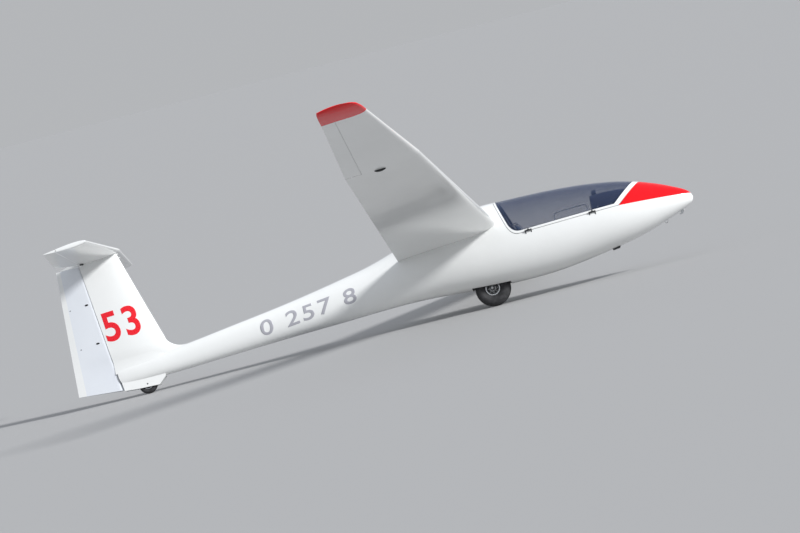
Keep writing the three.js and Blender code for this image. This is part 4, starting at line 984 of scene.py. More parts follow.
# %% Fin and rudder
# Columns: z, leading edge x, trailing edge x, thickness over chord
FIN = np.array([
    [0.060, -3.262, -4.455, 0.080],
    [0.380, -3.262, -4.442, 0.085],
    [0.410, -3.305, -4.441, 0.090],
    [0.440, -3.362, -4.440, 0.100],
    [0.480, -3.408, -4.438, 0.110],
    [0.560, -3.440, -4.434, 0.115],
    [0.700, -3.485, -4.428, 0.120],
    [1.530, -3.744, -4.392, 0.120],
])
FIN_FOOT_Z = 0.240
FIN_ROOT_Z1, FIN_ROOT_Z2 = 0.36, 0.56  # between these heights the leading edge turns into the boom
FIN_SHOULDER_Z = 1.458  # above this only the front part goes on, under the elevator's nose
FIN_TOP_Z = 1.515
FIN_TOP_REAR_X = -4.095
RUDDER_BOTTOM = {"front_z": 0.097, "rear_z": 0.137}
RUDDER_TOP_Z = 1.457
RUDDER_UNSHADED_EDGE = 4  # grid columns along the trailing edge that keep the skins' white, outside the rudder's painted shade
# Blend from boom to fin: where it starts, ends and has its full reach
FILLET = {"x1": -3.47, "x2": -4.015, "full": -3.62, "reach": 0.075}
# Ridge ahead of the fin: its ends, its size at the rear one, and how far under the skin its two faces end
RIDGE = {"x1": -3.13, "x2": -3.42, "height": 0.105, "power": 3.5, "half_width": 0.046}
RIDGE_EDGE, RIDGE_BASE = 0.0004, 0.006


def fin_skin(span, share, side):
    front, rear, ratio = np.moveaxis(smooth_rows(FIN, span), -1, 0)
    chord = front - rear
    y = side * (chord * half_thickness(share, ratio) + BLUNT * share)
    return stacked(front - chord * share, y)


def fin_hinge(span):
    x, radius = rudder_hinge(span)
    return x, 0 * x, radius


def place_fin(span, local):
    return stacked(local[..., 0], local[..., 1], span)


def fin_piece():
    root = steps(FIN_ROOT_Z1, FIN_ROOT_Z2, 36)
    low = np.concatenate([steps(FIN_FOOT_Z, root[0], 6), root[1:], steps(root[-1], FIN_SHOULDER_Z, 30)[1:]])
    section = front_loop(fin_skin, low, fin_hinge, MOVE_GAP)
    patches = closed_body(place_fin(low[:, None], section), skin=HOLLOW)
    top = steps(FIN_SHOULDER_Z, FIN_TOP_Z, 4)
    front, rear = ends_of(fin_skin, top)
    reach = ((front - FIN_TOP_REAR_X) / (front - rear))[:, None]
    spread = reach * (1 - np.cos(steps(0, pi / 2, 26)))[None, :]
    front_part = whole_loop(fin_skin, top[:, None], spread[:, ::-1], spread)
    patches += closed_body(place_fin(top[:, None], front_part))
    blend, inner = fillet_grids()
    patches += slab(blend, inner) + slab(mirrored(blend), mirrored(inner)) + slab(*ridge_grids())
    # The hollow that the rudder turns in is near-black: painted shade.
    return make_piece("fin_skin", patches, ["white", "seal_and_gap_shade"], "airframe", ["fin"])


def fillet_grids():
    """Hollow blend from boom to fin: for each x a quadratic curve from the boom's side, by the corner
    where both skins meet, to the fin's side."""
    x = steps(FILLET["x1"], FILLET["x2"], 60)
    share = np.clip((x - FILLET["x1"]) / (FILLET["full"] - FILLET["x1"]), 0, 1)
    reach = FILLET["reach"] * (0.15 + 0.85 * np.sin(share * pi / 2))
    corner_z = fuselage_shape(x)[0]
    for _ in range(20):
        front, rear = ends_of(fin_skin, corner_z)
        half = fin_skin(corner_z, np.clip((front - x) / (front - rear), 0, 1), 1)[:, 1]
        top, _, wide, waist = fuselage_shape(x)
        lift = np.maximum(1 - np.minimum(half / wide, 1) ** POWER, 0) ** (1 / POWER)
        corner_z = 0.5 * corner_z + 0.5 * (waist + (top - waist) * lift)
    foot_angle = angle_at(x, corner_z - 0.55 * reach)
    foot = body_point(x, foot_angle)
    up_z = corner_z + reach
    front, rear = ends_of(fin_skin, up_z)
    head_y = fin_skin(up_z, np.clip((front - x) / (front - rear), 0, 1), 1)[:, 1]
    corner = stacked(x, half, corner_z)
    head = stacked(x, head_y, up_z)
    t = steps(0, 1, 14)[None, :, None]
    curve = (1 - t) ** 2 * foot[:, None] + 2 * t * (1 - t) * corner[:, None] + t**2 * head[:, None]
    inner = curve * [1, 0.5, 1]
    return curve, inner


def ridge_grids():
    """Low ridge that runs the leading edge out along the boom: its height grows with a power of the way
    back, its width with a quarter circle, and each section is a bell on the boom's own curve."""
    share = steps(0.02, 1, 50)[:, None]
    x = RIDGE["x1"] + (RIDGE["x2"] - RIDGE["x1"]) * share
    across = steps(-1, 1, 31)[None, :]
    y = RIDGE["half_width"] * np.sqrt(share * (2 - share)) * across
    top, _, half, waist = fuselage_shape(x)
    skin = waist + (top - waist) * (1 - np.abs(y / half) ** POWER) ** (1 / POWER)
    bell = RIDGE["height"] * share ** RIDGE["power"] * (1 - across**2) ** 2
    heights = (skin + bell - RIDGE_EDGE, skin - RIDGE_BASE)
    return [stacked(x, y, z) for z in heights]


def rudder_piece():
    height = steps(0, 1, 40)[:, None]

    def span_at(back):
        bottom = RUDDER_BOTTOM["front_z"] + (RUDDER_BOTTOM["rear_z"] - RUDDER_BOTTOM["front_z"]) * back
        return bottom + (RUDDER_TOP_Z - bottom) * height

    loop, spans = rear_loop(fin_skin, span_at, fin_hinge)
    points = place_fin(spans, loop)
    # The rudder's skin has the bluer painted shade; the strip along the trailing edge keeps the skins' white.
    unshaded_edge = np.zeros((len(points) - 1, points.shape[1]), bool)
    unshaded_edge[:, :RUDDER_UNSHADED_EDGE] = unshaded_edge[:, -RUDDER_UNSHADED_EDGE - 1 :] = True
    patches = [patch(points, wrap_columns=True, keep=~unshaded_edge)]
    patches.append(patch(points, wrap_columns=True, finish=1, keep=unshaded_edge))
    patches += [lid(points[0]), lid(points[-1])]
    return make_piece(
        "rudder_skin", patches, ["rudder_shade", "white"], "rudder", ["rudder"]
    )


print(fin_piece().name, rudder_piece().name)

# %% Tailplane and elevator
# Columns: y, leading edge x, trailing edge x, thickness over chord
TAILPLANE = np.array([
    [0.000, -3.691, -4.390, 0.120],
    [1.220, -3.795, -4.262, 0.108],
    [1.280, -3.800, -4.256, 0.108],
])
TAIL_Z = 1.534
TAIL_DROP = 0.07
TAIL_TIP = {"y": 1.262, "half_span": 1.280, "sweep": 0.010, "thin": 0.22}
ELEVATOR = {"x": -4.140, "root_r": 0.0315, "tip_r": 0.0185, "tube": 0.062}
NOTCH = {"behind": 0.018, "y": 0.056, "slope": 0.463}


def tail_middle(x):
    return TAIL_Z - (TAILPLANE[0, 1] - x) * TAIL_DROP


def tail_skin(span, share, side):
    """Symmetrical section about a line that falls towards the rear. Near each tip the nose sweeps back and
    the section thins on a quarter circle."""
    front, rear, ratio = np.moveaxis(straight_rows(TAILPLANE, np.abs(span)), -1, 0)
    t = np.clip((np.abs(span) - TAIL_TIP["y"]) / (TAIL_TIP["half_span"] - TAIL_TIP["y"]), 0, 1)
    turn = 1 - np.sqrt(1 - t**2)
    front = front - TAIL_TIP["sweep"] * turn
    chord = front - rear
    x = front - chord * share
    rise = side * (chord * half_thickness(share, ratio * (1 - TAIL_TIP["thin"] * turn)) + BLUNT * share)
    return stacked(x, tail_middle(x) + rise)


def elevator_hinge(span):
    share = np.abs(span) / TAILPLANE[1, 0]
    radius = ELEVATOR["root_r"] + (ELEVATOR["tip_r"] - ELEVATOR["root_r"]) * share
    x = ELEVATOR["x"] + 0 * radius
    return x, tail_middle(x), radius


def place_tail(span, local):
    return stacked(local[..., 0], span, local[..., 1])


def crowded(first, last, count):
    """Steps that crowd towards the last value, on a quarter sine."""
    return first + (last - first) * np.sin(steps(0, pi / 2, count))


def stabilizer_piece():
    start, end = TAIL_TIP["y"], TAIL_TIP["half_span"]
    half = np.concatenate([steps(0, start, 24), crowded(start, end, 10)[1:]])
    span = np.concatenate([-half[:0:-1], half])
    points = place_tail(span[:, None], front_loop(tail_skin, span, elevator_hinge, MOVE_GAP))
    patches = closed_body(points, skin=HOLLOW)
    # The hollow that the elevator turns in is near-black: painted shade.
    finishes = ["white", "seal_and_gap_shade"]
    return make_piece("stabilizer_skin", patches, finishes, "airframe", ["stabilizer"])


def elevator_piece():
    """Two halves with slanting inner ends over the rudder, and the tube that joins them."""
    height = np.concatenate([steps(0, 0.95, 24), crowded(0.95, 1, 9)[1:]])[:, None]

    def span_at(back):
        behind = back * (ELEVATOR["x"] - TAILPLANE[0, 2]) - NOTCH["behind"]
        inner = NOTCH["y"] + NOTCH["slope"] * np.maximum(behind, 0)
        return inner + (TAIL_TIP["half_span"] - inner) * height

    loop, spans = rear_loop(tail_skin, span_at, elevator_hinge)
    half = place_tail(spans, loop)
    patches = closed_body(half) + closed_body(mirrored(half))
    turn = round_steps(32)[None, :]
    y = np.array([[-ELEVATOR["tube"]], [ELEVATOR["tube"]]])
    radius = ELEVATOR["root_r"] - 0.001
    tube = [ELEVATOR["x"] + radius * np.cos(turn), y, tail_middle(ELEVATOR["x"]) + radius * np.sin(turn)]
    patches += closed_body(stacked(*tube))
    return make_piece("elevator_skin", patches, ["white"], "elevator", ["elevator"])


print(stabilizer_piece().name, elevator_piece().name)

# %% Crank fairings under the wings
CRANK = {"x": -0.310, "y": 4.640, "half_length": 0.058, "half_width": 0.021, "depth": 0.021}
CRANK_EDGE, CRANK_LID = -0.0005, -0.001  # drops from the wing's lower skin, so both lie inside it


def crank_fairing(name, port):
    """Half of an ellipsoid on the lower skin: its depth is a half sphere over the oval's own plane."""
    turn, out = round_steps(48)[None, :], np.sin(steps(0, pi / 2, 12))[:, None]
    x = CRANK["x"] + CRANK["half_length"] * out * np.cos(turn)
    y = CRANK["y"] + CRANK["half_width"] * out * np.sin(turn)
    front, rear = ends_of(wing_skin, y)
    skin = wing_skin(y, (front - x) / (front - rear), -1)
    bowl = np.sqrt(1 - out**2) * CRANK["depth"] + CRANK_EDGE
    grids = [place_wing(y, skin, port, drop + 0 * turn) for drop in (bowl, CRANK_LID)]
    grids.append(place_wing(y[-1:], skin[-1:], port, np.array([[CRANK_EDGE], [CRANK_LID]])))
    patches = [patch(grid, wrap_columns=True) for grid in grids]
    node = f"crank_fairing_{name}"
    # The fairing's black is painted shade.
    return make_piece(f"crank_cover_{name}", patches, ["black_and_shade"], "airframe", [node])


for port, name in SIDES:
    print(crank_fairing(name, port).name)

# %% [markdown]
# ## The canopy
#
# A canopy is one blown sheet of clear acrylic in a narrow white frame, hinged along its starboard side.
# Both could be cut out of the fuselage skin, but then they would share its points and could not open.
# Here frame and glass are grids of their own on the same sections. The frame runs between two copies of
# the opening's edge, one drawn in further than the other, and the glass spans from edge to edge over the
# top. The sliding window is a rounded outline. Two grid lines of the glass follow it and meet where it
# ends, so it leaves a clean hole.

# %% Canopy frame
FRAME_GAP = 0.0053
FRAME_REAR, FRAME_SILL, FRAME_FRONT = 0.024, 0.028, 0.048
FRAME_WALL = 0.024
GLASS = 0.006
SEAT_GAP = 0.0003
# Near-black strip under the glass's edge, painted shade of the frame's inside: how deep its faces lie, how
# far it laps the frame, and how far it shows
SHADE_STRIP = {"top": 0.0068, "bottom": 0.0098, "lap": 0.006, "rear": 0.024, "sill": 0.006, "front": 0.012}


def ring_on_skin(outer, inner, columns, top, bottom):
    """Grids of a ring between two copies of the opening's edge, as deep in the skin as top and bottom say:
    its outer face, its inner face, its outer rim and its rim beside the glass."""
    share = steps(0, 1, columns)[None, :]
    x, angle = [first[:, None] + (second - first)[:, None] * share for first, second in zip(outer, inner)]
    face, back = body_point(x, angle, top), body_point(x, angle, bottom)
    return face, back, *[np.stack([face[:, k], back[:, k]], 1) for k in (0, -1)]


def canopy_frame_piece():
    """White ring of the skin, and a near-black strip under the glass's edge that is painted shade of the
    frame's inside.
    """
    outer = opening_edge(FRAME_GAP, FRAME_GAP, FRAME_GAP)
    inner = opening_edge(FRAME_REAR, FRAME_SILL, FRAME_FRONT)
    start = opening_edge(FRAME_REAR - SHADE_STRIP["lap"], FRAME_SILL - SHADE_STRIP["lap"], FRAME_FRONT - SHADE_STRIP["lap"])
    end = opening_edge(FRAME_REAR + SHADE_STRIP["rear"], FRAME_SILL + SHADE_STRIP["sill"], FRAME_FRONT + SHADE_STRIP["front"])
    patches = []
    for grid, finish in zip(ring_on_skin(outer, inner, 8, 0, FRAME_WALL), (0, 1, 0, 1)):
        patches += both_sides(grid, finish=finish)
    for grid in ring_on_skin(start, end, 4, SHADE_STRIP["top"], SHADE_STRIP["bottom"]):
        patches += both_sides(grid, finish=2)
    finishes = ["white", "lining", "seal_and_gap_shade"]
    return make_piece("canopy_rim", patches, finishes, "canopy", ["canopy_frame"], sharp=50)


print(canopy_frame_piece().name)

# %% Canopy glass and sliding window
WINDOW = {"x": 0.935, "z": 0.7825, "rise": 0.010 / 0.350, "half": 0.175, "half_height": 0.0425, "power": 5.0}
WINDOW_GAP = 0.0006
# Pale edging inside and outside the glass, a real rim whose paleness is painted highlight: insets of its
# outer and inner edge, depths of its two faces
EDGING = [((-0.006, 0.003), (0.0065, 0.0110)), ((-0.003, 0.003), (-0.0010, 0.0012))]


def window_line(x, side):
    """Height of the window's outline at x, above or below: a superellipse about a rising middle line. Past
    its ends both lines are the middle line."""
    share = np.clip(np.abs(x - WINDOW["x"]) / WINDOW["half"], 0, 1) ** WINDOW["power"]
    half_height = WINDOW["half_height"] * (1 - share) ** (1 / WINDOW["power"])
    return WINDOW["z"] + (x - WINDOW["x"]) * WINDOW["rise"] + side * half_height


def window_ring(inset, count=80):
    """The same outline as a closed ring, drawn in by an inset, as x and z."""
    turn = round_steps(count)
    x, z = [np.sign(v) * np.abs(v) ** (2 / WINDOW["power"]) for v in (np.cos(turn), np.sin(turn))]
    x = WINDOW["x"] + (WINDOW["half"] - inset) * x
    return x, WINDOW["z"] + (x - WINDOW["x"]) * WINDOW["rise"] + (WINDOW["half_height"] - inset) * z


def on_side(x, z, inset):
    """Points of the port side at x and z, drawn into the skin by an inset."""
    return body_point(x, angle_at(x, z, inset), inset)


def canopy_glass_piece():
    edge_x, edge_angle = opening_edge(FRAME_REAR + SEAT_GAP, FRAME_SILL + SEAT_GAP, FRAME_FRONT + SEAT_GAP)
    window_x = WINDOW["x"] - WINDOW["half"] * np.cos(steps(0, pi, 49))
    behind, ahead = edge_x < window_x[0] - 0.002, edge_x > window_x[-1] + 0.002
    x = np.concatenate([edge_x[behind], window_x, edge_x[ahead]])
    edge = np.interp(x, edge_x, edge_angle)
    low, high = [np.maximum(angle_at(x, window_line(x, side)), edge) for side in (-1, 1)]
    below, across, above = 8, 8, 40  # grid columns from the sill to the window, over it, and to the top
    spans = [(edge, low, below, 0), (low, high, across, 1), (high, np.full(len(x), pi / 2), above, 1)]
    parts = [
        start[:, None] + (end - start)[:, None] * steps(0, 1, count + 1)[None, skip:]
        for start, end, count, skip in spans
    ]
    angle = np.concatenate(parts, 1)
    outer, inner = body_point(x[:, None], angle), body_point(x[:, None], angle, GLASS)
    keep = np.ones((len(x) - 1, angle.shape[1] - 1), bool)
    first = int(behind.sum())
    window_rows = slice(first, first + len(window_x))
    keep[first : first + len(window_x) - 1, below : below + across] = False
    patches = [patch(grid, keep=keep) for grid in (outer, inner)]
    patches += [patch(mirrored(grid)) for grid in (outer, inner)]
    patches += both_sides(np.stack([outer[:, 0], inner[:, 0]], 1))
    for k in (below, below + across):
        patches.append(patch(np.stack([outer[window_rows, k], inner[window_rows, k]], 1)))
    finishes = ["acrylic"]
    return make_piece(
        "canopy_pane", patches, finishes, "canopy", ["canopy_glass"], sharp=50
    )


def sliding_window_piece():
    """The pane fills the hole, and a thin pale edging runs round it on both faces of the glass; the edging is
    a real rim, its paleness painted highlight.
    """
    ring_x, ring_z = window_ring(WINDOW_GAP)
    share = steps(0, 1, 8)[None, :]
    x = WINDOW["x"] + (ring_x - WINDOW["x"])[:, None] * share
    z = WINDOW["z"] + (ring_z - WINDOW["z"])[:, None] * share
    face, back = on_side(x, z, 0), on_side(x, z, GLASS)
    patches = [patch(grid, wrap_rows=True) for grid in (face, back, np.stack([face[:, -1], back[:, -1]], 1))]
    for insets, (top, bottom) in EDGING:
        wide, narrow = [window_ring(inset) for inset in insets]
        loop = [on_side(*wide, top), on_side(*narrow, top), on_side(*narrow, bottom), on_side(*wide, bottom)]
        patches.append(patch(np.stack(loop, 1), wrap_rows=True, wrap_columns=True, finish=1))
    finishes = ["acrylic", "window_rim_highlight"]
    return make_piece(
        "window_pane", patches, finishes, "canopy", ["sliding_window"], sharp=50
    )


print(canopy_glass_piece().name, sliding_window_piece().name)

# %% [markdown]
# ## Turned, drawn and dressed pieces
#
# Wheels, knobs and dials are turned: a profile of distance and radius goes round an axis. Bars, welts and
# levers are drawn: a circle goes along a path. Many small fittings already have their right shape in the
# construction model, and only lack what a real edge has, a small radius that catches the light. Those are
# copied, their flat faces are joined up again, and a Bevel modifier rounds their edges.

# %% Helpers for round and small pieces
def square_pair(axis):
    """Two directions square to an axis and to each other."""
    axis = np.asarray(axis, float) / np.linalg.norm(axis)
    start = np.array([0.0, 0.0, 1.0]) if abs(axis[2]) < 0.9 else np.array([1.0, 0.0, 0.0])
    side = np.cross(axis, start)
    side /= np.linalg.norm(side)
    return axis, side, np.cross(axis, side)


def turned(profile, centre, axis, finish=0, sides=48, closed=False):
    """Each profile point is (distance along the axis, radius). It goes round on a circle of that radius.
    A closed profile joins up with itself, and another starts and ends on the axis."""
    profile = np.asarray(profile, float)
    axis, side, over = square_pair(axis)
    turn = round_steps(sides)
    circle = np.cos(turn)[:, None] * side + np.sin(turn)[:, None] * over
    points = np.asarray(centre) + profile[:, :1, None] * axis + profile[:, 1:, None] * circle[None]
    return [patch(points, wrap_rows=closed, wrap_columns=True, finish=finish)]


def circles(path, along, radius, sides, up):
    """A circle of points at each point of a path, square to the direction given for it."""
    along = along / np.linalg.norm(along, axis=1)[:, None]
    side = np.cross(along, up)
    side /= np.linalg.norm(side, axis=1)[:, None]
    over = np.cross(side, along)
    turn = round_steps(sides)
    ring = np.cos(turn)[None, :, None] * side[:, None] + np.sin(turn)[None, :, None] * over[:, None]
    return path[:, None] + np.broadcast_to(radius, len(path))[:, None, None] * ring


def tube(path, radius, finish=0, sides=14, up=(0, 0, 1)):
    """Round bar along a path, with closed ends. Its radius may change."""
    path = np.asarray(path, float)
    return closed_body(circles(path, np.gradient(path, axis=0), radius, sides, up), finish)


def welt(ring, radius, up, finish=0, sides=10):
    """Round cord along a closed ring of points."""
    along = np.roll(ring, -1, 0) - np.roll(ring, 1, 0)
    return [patch(circles(ring, along, radius, sides, up), wrap_rows=True, wrap_columns=True, finish=finish)]


def line(start, end, count=2):
    return np.asarray(start) + (np.asarray(end) - np.asarray(start)) * steps(0, 1, count)[:, None]


def block(low, high, finish=0):
    """Plain rectangular body between two corners, for small flat details."""
    (x1, y1, z1), (x2, y2, z2) = low, high
    corners = [[[x1, y1], [x1, y2]], [[x2, y1], [x2, y2]]]
    grids = [np.array([[[*spot, z] for spot in row] for row in corners]) for z in (z2, z1)]
    return slab(*grids, finish=finish)


def dressed(node, finish, body, radius=0.0012, join=1.5):
    """Copy of a construction node with its coplanar triangles joined and its edges rounded."""
    source = frame["nodes"][node].data
    work = bmesh.new()
    work.from_mesh(source)
    bmesh.ops.remove_doubles(work, verts=work.verts, dist=WELD)
    bmesh.ops.dissolve_limit(work, angle_limit=radians(join), verts=work.verts, edges=work.edges)
    points = [tuple(vertex.co) for vertex in work.verts]
    faces = [[vertex.index for vertex in face.verts] for face in work.faces]
    work.free()
    mesh = bpy.data.meshes.new(f"{node}_dressed")
    mesh.from_pydata(points, [], faces)
    mesh.shade_smooth()
    mesh.set_sharp_from_angle(angle=radians(35))
    mesh.materials.append(FINISH[finish])
    made = linked(f"{node}_dressed", mesh)
    rounding = made.modifiers.new("rounding", "BEVEL")
    rounding.width = radius
    rounding.segments = 2
    rounding.limit_method = "ANGLE"
    rounding.angle_limit = radians(35)
    rounding.use_clamp_overlap = True
    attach(made, body)
    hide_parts(node)
    return made


# Columns: node, finish, body, material slot, edge radius
DRESSED = [
    ("main_axle", "steel", "airframe", "steel_parts", 0.0015),
    ("main_fork", "dark_disc", "airframe", "steel_parts", 0.0015),
    ("tail_axle", "black_and_shade", "airframe", "steel_parts", 0.0010),
    ("tail_wheel_fairing", "white", "airframe", "white_gelcoat", 0.0060),
    ("rear_bulkhead", "lining", "airframe", "cockpit_lining", 0.0015),
    ("canopy_latch", "red_marking", "canopy", "red_paint", 0.0020),
    ("hinge_base_rear", "black_and_shade", "airframe", "dark_paint", 0.0008),
    ("hinge_base_front", "black_and_shade", "airframe", "dark_paint", 0.0008),
    ("hinge_knuckle_rear", "black_and_shade", "canopy", "dark_paint", 0.0008),
    ("hinge_knuckle_front", "black_and_shade", "canopy", "dark_paint", 0.0008),
    ("seat_pan", "lining", "airframe", "cockpit_lining", 0.0025),
    ("instrument_panel", "crackle", "airframe", "dark_paint", 0.0012),
    ("panel_pedestal", "crackle", "airframe", "dark_paint", 0.0040),
    ("pedal_rail", "steel", "airframe", "steel_parts", 0.0020),
    ("rudder_pedal_left", "steel", "airframe", "steel_parts", 0.0015),
    ("rudder_pedal_right", "steel", "airframe", "steel_parts", 0.0015),
    ("side_console_left", "lining", "airframe", "cockpit_lining", 0.0030),
    ("side_console_right", "lining", "airframe", "cockpit_lining", 0.0030),
    ("nose_hook", "steel", "airframe", "steel_parts", 0.0012),
    ("belly_hook", "black_and_shade", "airframe", "dark_paint", 0.0020),
]
for node, finish, body, slot, radius in DRESSED:
    dressed(node, finish, body, radius)
print(len(DRESSED), "fittings dressed")

# %% [markdown]
# ## Wheels
#
# The tyre is a turned loop: crown, shoulders, sidewalls and beads, with grooves pressed into the tread by
# a smooth dip at each one. The wheel inside it is turned too, with a bright lip, a dark disc and a ring of
# bolt heads, because those are what shows beside the skin.

# %% Tyres and rims
# Half sections of the tyres. Columns: share of the way from tread to bead, radius lost, share of half width
MAIN_TYRE = np.array([
    [0.00, 0.000, 0.00],
    [0.12, 0.003, 0.30],
    [0.26, 0.012, 0.62],
    [0.42, 0.030, 0.90],
    [0.58, 0.055, 1.00],
    [0.78, 0.082, 0.90],
    [1.00, 0.108, 0.72],
])
TAIL_TYRE = np.array([
    [0.00, 0.000, 0.00],
    [0.17, 0.002, 0.40],
    [0.36, 0.009, 0.78],
    [0.58, 0.022, 1.00],
    [0.84, 0.040, 0.86],
    [1.00, 0.048, 0.60],
])
GROOVE = {"depth": 0.0035, "half_width": 0.0026}


def tyre_profile(rows, radius, half_width, grooves, groove):
    """Loop of (y, radius): half a section, smooth through its rows, then its mirror. Each groove takes its
    depth off where y is within its half width, with steep even sides."""
    lost, share = smooth_rows(rows, steps(0, 1, 90)).T
    y, r = half_width * share, radius - lost
    for centre in grooves:
        r = r - groove["depth"] / (1 + ((y - centre) / groove["half_width"]) ** 8)
    half = stacked(y, r)
    return np.concatenate([half, (half * [-1, 1])[:0:-1]])


def bolt_heads(count, ring, y, radius, height, centre, finish):
    """Six-sided heads in a ring, on both faces of a wheel."""
    patches = []
    for turn in round_steps(count):
        spot = np.asarray(centre) + [ring * cos(turn), 0, ring * sin(turn)]
        for face in (1, -1):
            low, high = face * y, face * (y + height)
            profile = [[low, 0], [low, radius], [high, 0.92 * radius], [high, 0]]
            patches += turned(profile, spot, (0, 1, 0), finish, sides=6)
    return patches


def wheel(name, rows, tyre, half_rim, bolts, centre, grooves):
    """A tyre and its rim. Each half rim row is (y, radius), from the bore to the tyre, with one finish."""
    tread = turned(tyre_profile(rows, *tyre, grooves, GROOVE), centre, (0, 1, 0), sides=120, closed=True)
    make_piece(f"{name}_tread", tread, ["tyre"], f"{name}_wheel", [f"{name}_tyre"], sharp=60)
    half = np.array(half_rim)
    loop = np.concatenate([half, (half * [-1, 1])[::-1]])
    dark = len(half) // 2
    patches = turned(loop, centre, (0, 1, 0), sides=96, closed=True)
    patches += bolt_heads(*bolts, centre, 1)
    disc = half[dark - 1 : dark + 2] + [0.0006, 0]
    for face in (1, -1):
        patches += turned(disc * [face, 1], centre, (0, 1, 0), 2, sides=96)
    finishes = ["alloy", "steel", "dark_disc"]
    return make_piece(
        f"{name}_hub", patches, finishes, f"{name}_wheel", [f"{name}_rim"], sharp=30
    )


MAIN_HALF_RIM = [
    (0.052, 0.0123),
    (0.052, 0.032),
    (0.050, 0.034),
    (0.031, 0.035),
    (0.029, 0.037),
    (0.024, 0.056),
    (0.025, 0.059),
    (0.043, 0.0635),
    (0.046, 0.0655),
    (0.046, 0.0745),
    (0.044, 0.0767),
]
TAIL_HALF_RIM = [
    (0.024, 0.0083),
    (0.024, 0.018),
    (0.022, 0.020),
    (0.010, 0.024),
    (0.010, 0.040),
    (0.014, 0.0445),
    (0.016, 0.046),
    (0.016, 0.0505),
    (0.014, 0.0517),
]
wheel(
    "main",
    MAIN_TYRE,
    (0.185, 0.065),
    MAIN_HALF_RIM,
    (8, 0.047, 0.0265, 0.0045, 0.004),
    MAIN_AXLE,
    (0.0, 0.013, 0.026),
)
wheel("tail", TAIL_TYRE, (0.100, 0.028), TAIL_HALF_RIM, (5, 0.032, 0.010, 0.003, 0.003), TAIL_AXLE, ())
print("two wheels")

# %% [markdown]
# ## The cockpit
#
# Through the tinted glass one sees a dark arched glare shield, the panel under it, a stick and a padded
# seat. The shield is a thin shell between two copies of the same arch. Dials are turned rings and thin
# plates with raised ticks, since a flat picture of a dial would look dead from the side.

# %% Glare shield
# Columns: x, half width, base height, top height
SHIELD = np.array([
    [1.195, 0.206, 0.700, 0.860],
    [1.330, 0.206, 0.700, 0.864],
    [1.480, 0.190, 0.694, 0.856],
    [1.630, 0.160, 0.690, 0.836],
])
SHIELD_POWER = 0.7
SHIELD_SKIN = 0.005
SHIELD_SCREWS_X = (1.26, 1.40, 1.54)
AFT = (-1, 0, 0)


def shield_grid(inset):
    """Arch with square shoulders: half width and height go with the cosine and the sine of the angle, both
    to the power 0.7, and all of it is drawn in by an inset."""
    x = steps(SHIELD[0, 0], SHIELD[-1, 0], 40)
    half, base, top = np.moveaxis(smooth_rows(SHIELD, x), -1, 0)[:, :, None]
    angle = steps(0, pi, 61)[None, :]
    across, up = [np.sign(v) * np.abs(v) ** SHIELD_POWER for v in (np.cos(angle), np.sin(angle))]
    y, z = (half - inset) * across, base + (top - inset - base) * up
    return stacked(x[:, None], y, z)


def glare_shield_piece():
    patches = slab(shield_grid(0), shield_grid(SHIELD_SKIN))
    rim = shield_grid(SHIELD_SKIN / 2)[0] + [0.001, 0, 0]
    patches += tube(rim, 0.0042, finish=1, sides=10, up=(1, 0, 0))
    for side in (1, -1):
        for x in SHIELD_SCREWS_X:
            half, base, _ = smooth_rows(SHIELD, np.array(x))
            screw = [[0, 0], [0, 0.0055], [0.0018, 0.0045], [0.0022, 0]]
            patches += turned(screw, (x, side * (half - 0.0006), base + 0.016), (0, side, 0), 2, sides=16)
    finishes = ["shield", "seal_and_gap_shade", "steel"]
    return make_piece(
        "glare_shield_arch", patches, finishes, "airframe", ["glare_shield"], sharp=50
    )


print(glare_shield_piece().name)

# %% Dials, compass and release knob
DIAL_X = 1.193
# Columns: y, z, radius, number of ticks, direction of the needle in degrees
DIALS = [
    (0.078, 0.778, 0.040, 20, 215),
    (-0.078, 0.778, 0.040, 12, 90),
    (0.000, 0.690, 0.040, 16, 180),
    (0.088, 0.684, 0.029, 12, 140),
    (-0.088, 0.684, 0.029, 10, 30),
]


def bar_on_dial(y, z, turn, near, far, half_1, half_2, low, high, finish):
    """Flat bar on a dial's face from one radius to another, as wide as its two half widths say."""
    out, side = np.array([0, cos(turn), sin(turn)]), np.array([0, -sin(turn), cos(turn)])
    corners = [[near * out + way * half_1 * side, far * out + way * half_2 * side] for way in (1, -1)]
    face = np.array(corners) + [DIAL_X, y, z]
    return slab(face - [high, 0, 0], face - [low, 0, 0], finish=finish)


def dial(y, z, radius, ticks, needle):
    """Turned rim, dark plate, raised ticks, a needle on its boss and four screws."""
    centre = (DIAL_X, y, z)
    rim = [(0, radius - 0.0005), (0.004, radius - 0.0015), (0.0052, radius - 0.004), (0.0042, radius - 0.007)]
    patches = turned([*rim, (0, radius - 0.0075)], centre, AFT, 0, closed=True)
    inner = radius - 0.0072
    patches += turned([(0, 0), (0, inner), (0.0008, inner), (0.0008, 0)], centre, AFT, 1)
    for k, turn in enumerate(round_steps(ticks)):
        start = inner * (0.76 if k % 2 == 0 else 0.84)
        patches += bar_on_dial(y, z, turn, start, 0.94 * inner, 0.0007, 0.0007, 0.0007, 0.0012, 2)
    hand = (-0.2 * inner, 0.72 * inner, 0.0016, 0.0004, 0.0014, 0.0020)
    patches += bar_on_dial(y, z, radians(needle), *hand, 2)
    boss = [(0.0008, 0), (0.0008, 0.004), (0.0026, 0.0034), (0.0026, 0)]
    patches += turned(boss, centre, AFT, 0, sides=20)
    screw = [(-0.0125, 0), (-0.0125, 0.0026), (-0.0108, 0.0022), (-0.0108, 0)]
    for turn in radians(45) + round_steps(4):
        spot = np.array(centre) + [0, (radius + 0.004) * cos(turn), (radius + 0.004) * sin(turn)]
        patches += turned(screw, spot, AFT, 3, sides=12)
    return patches


COMPASS = {"x": 1.232, "z": 0.890, "r": 0.026, "foot_z": 0.8605}


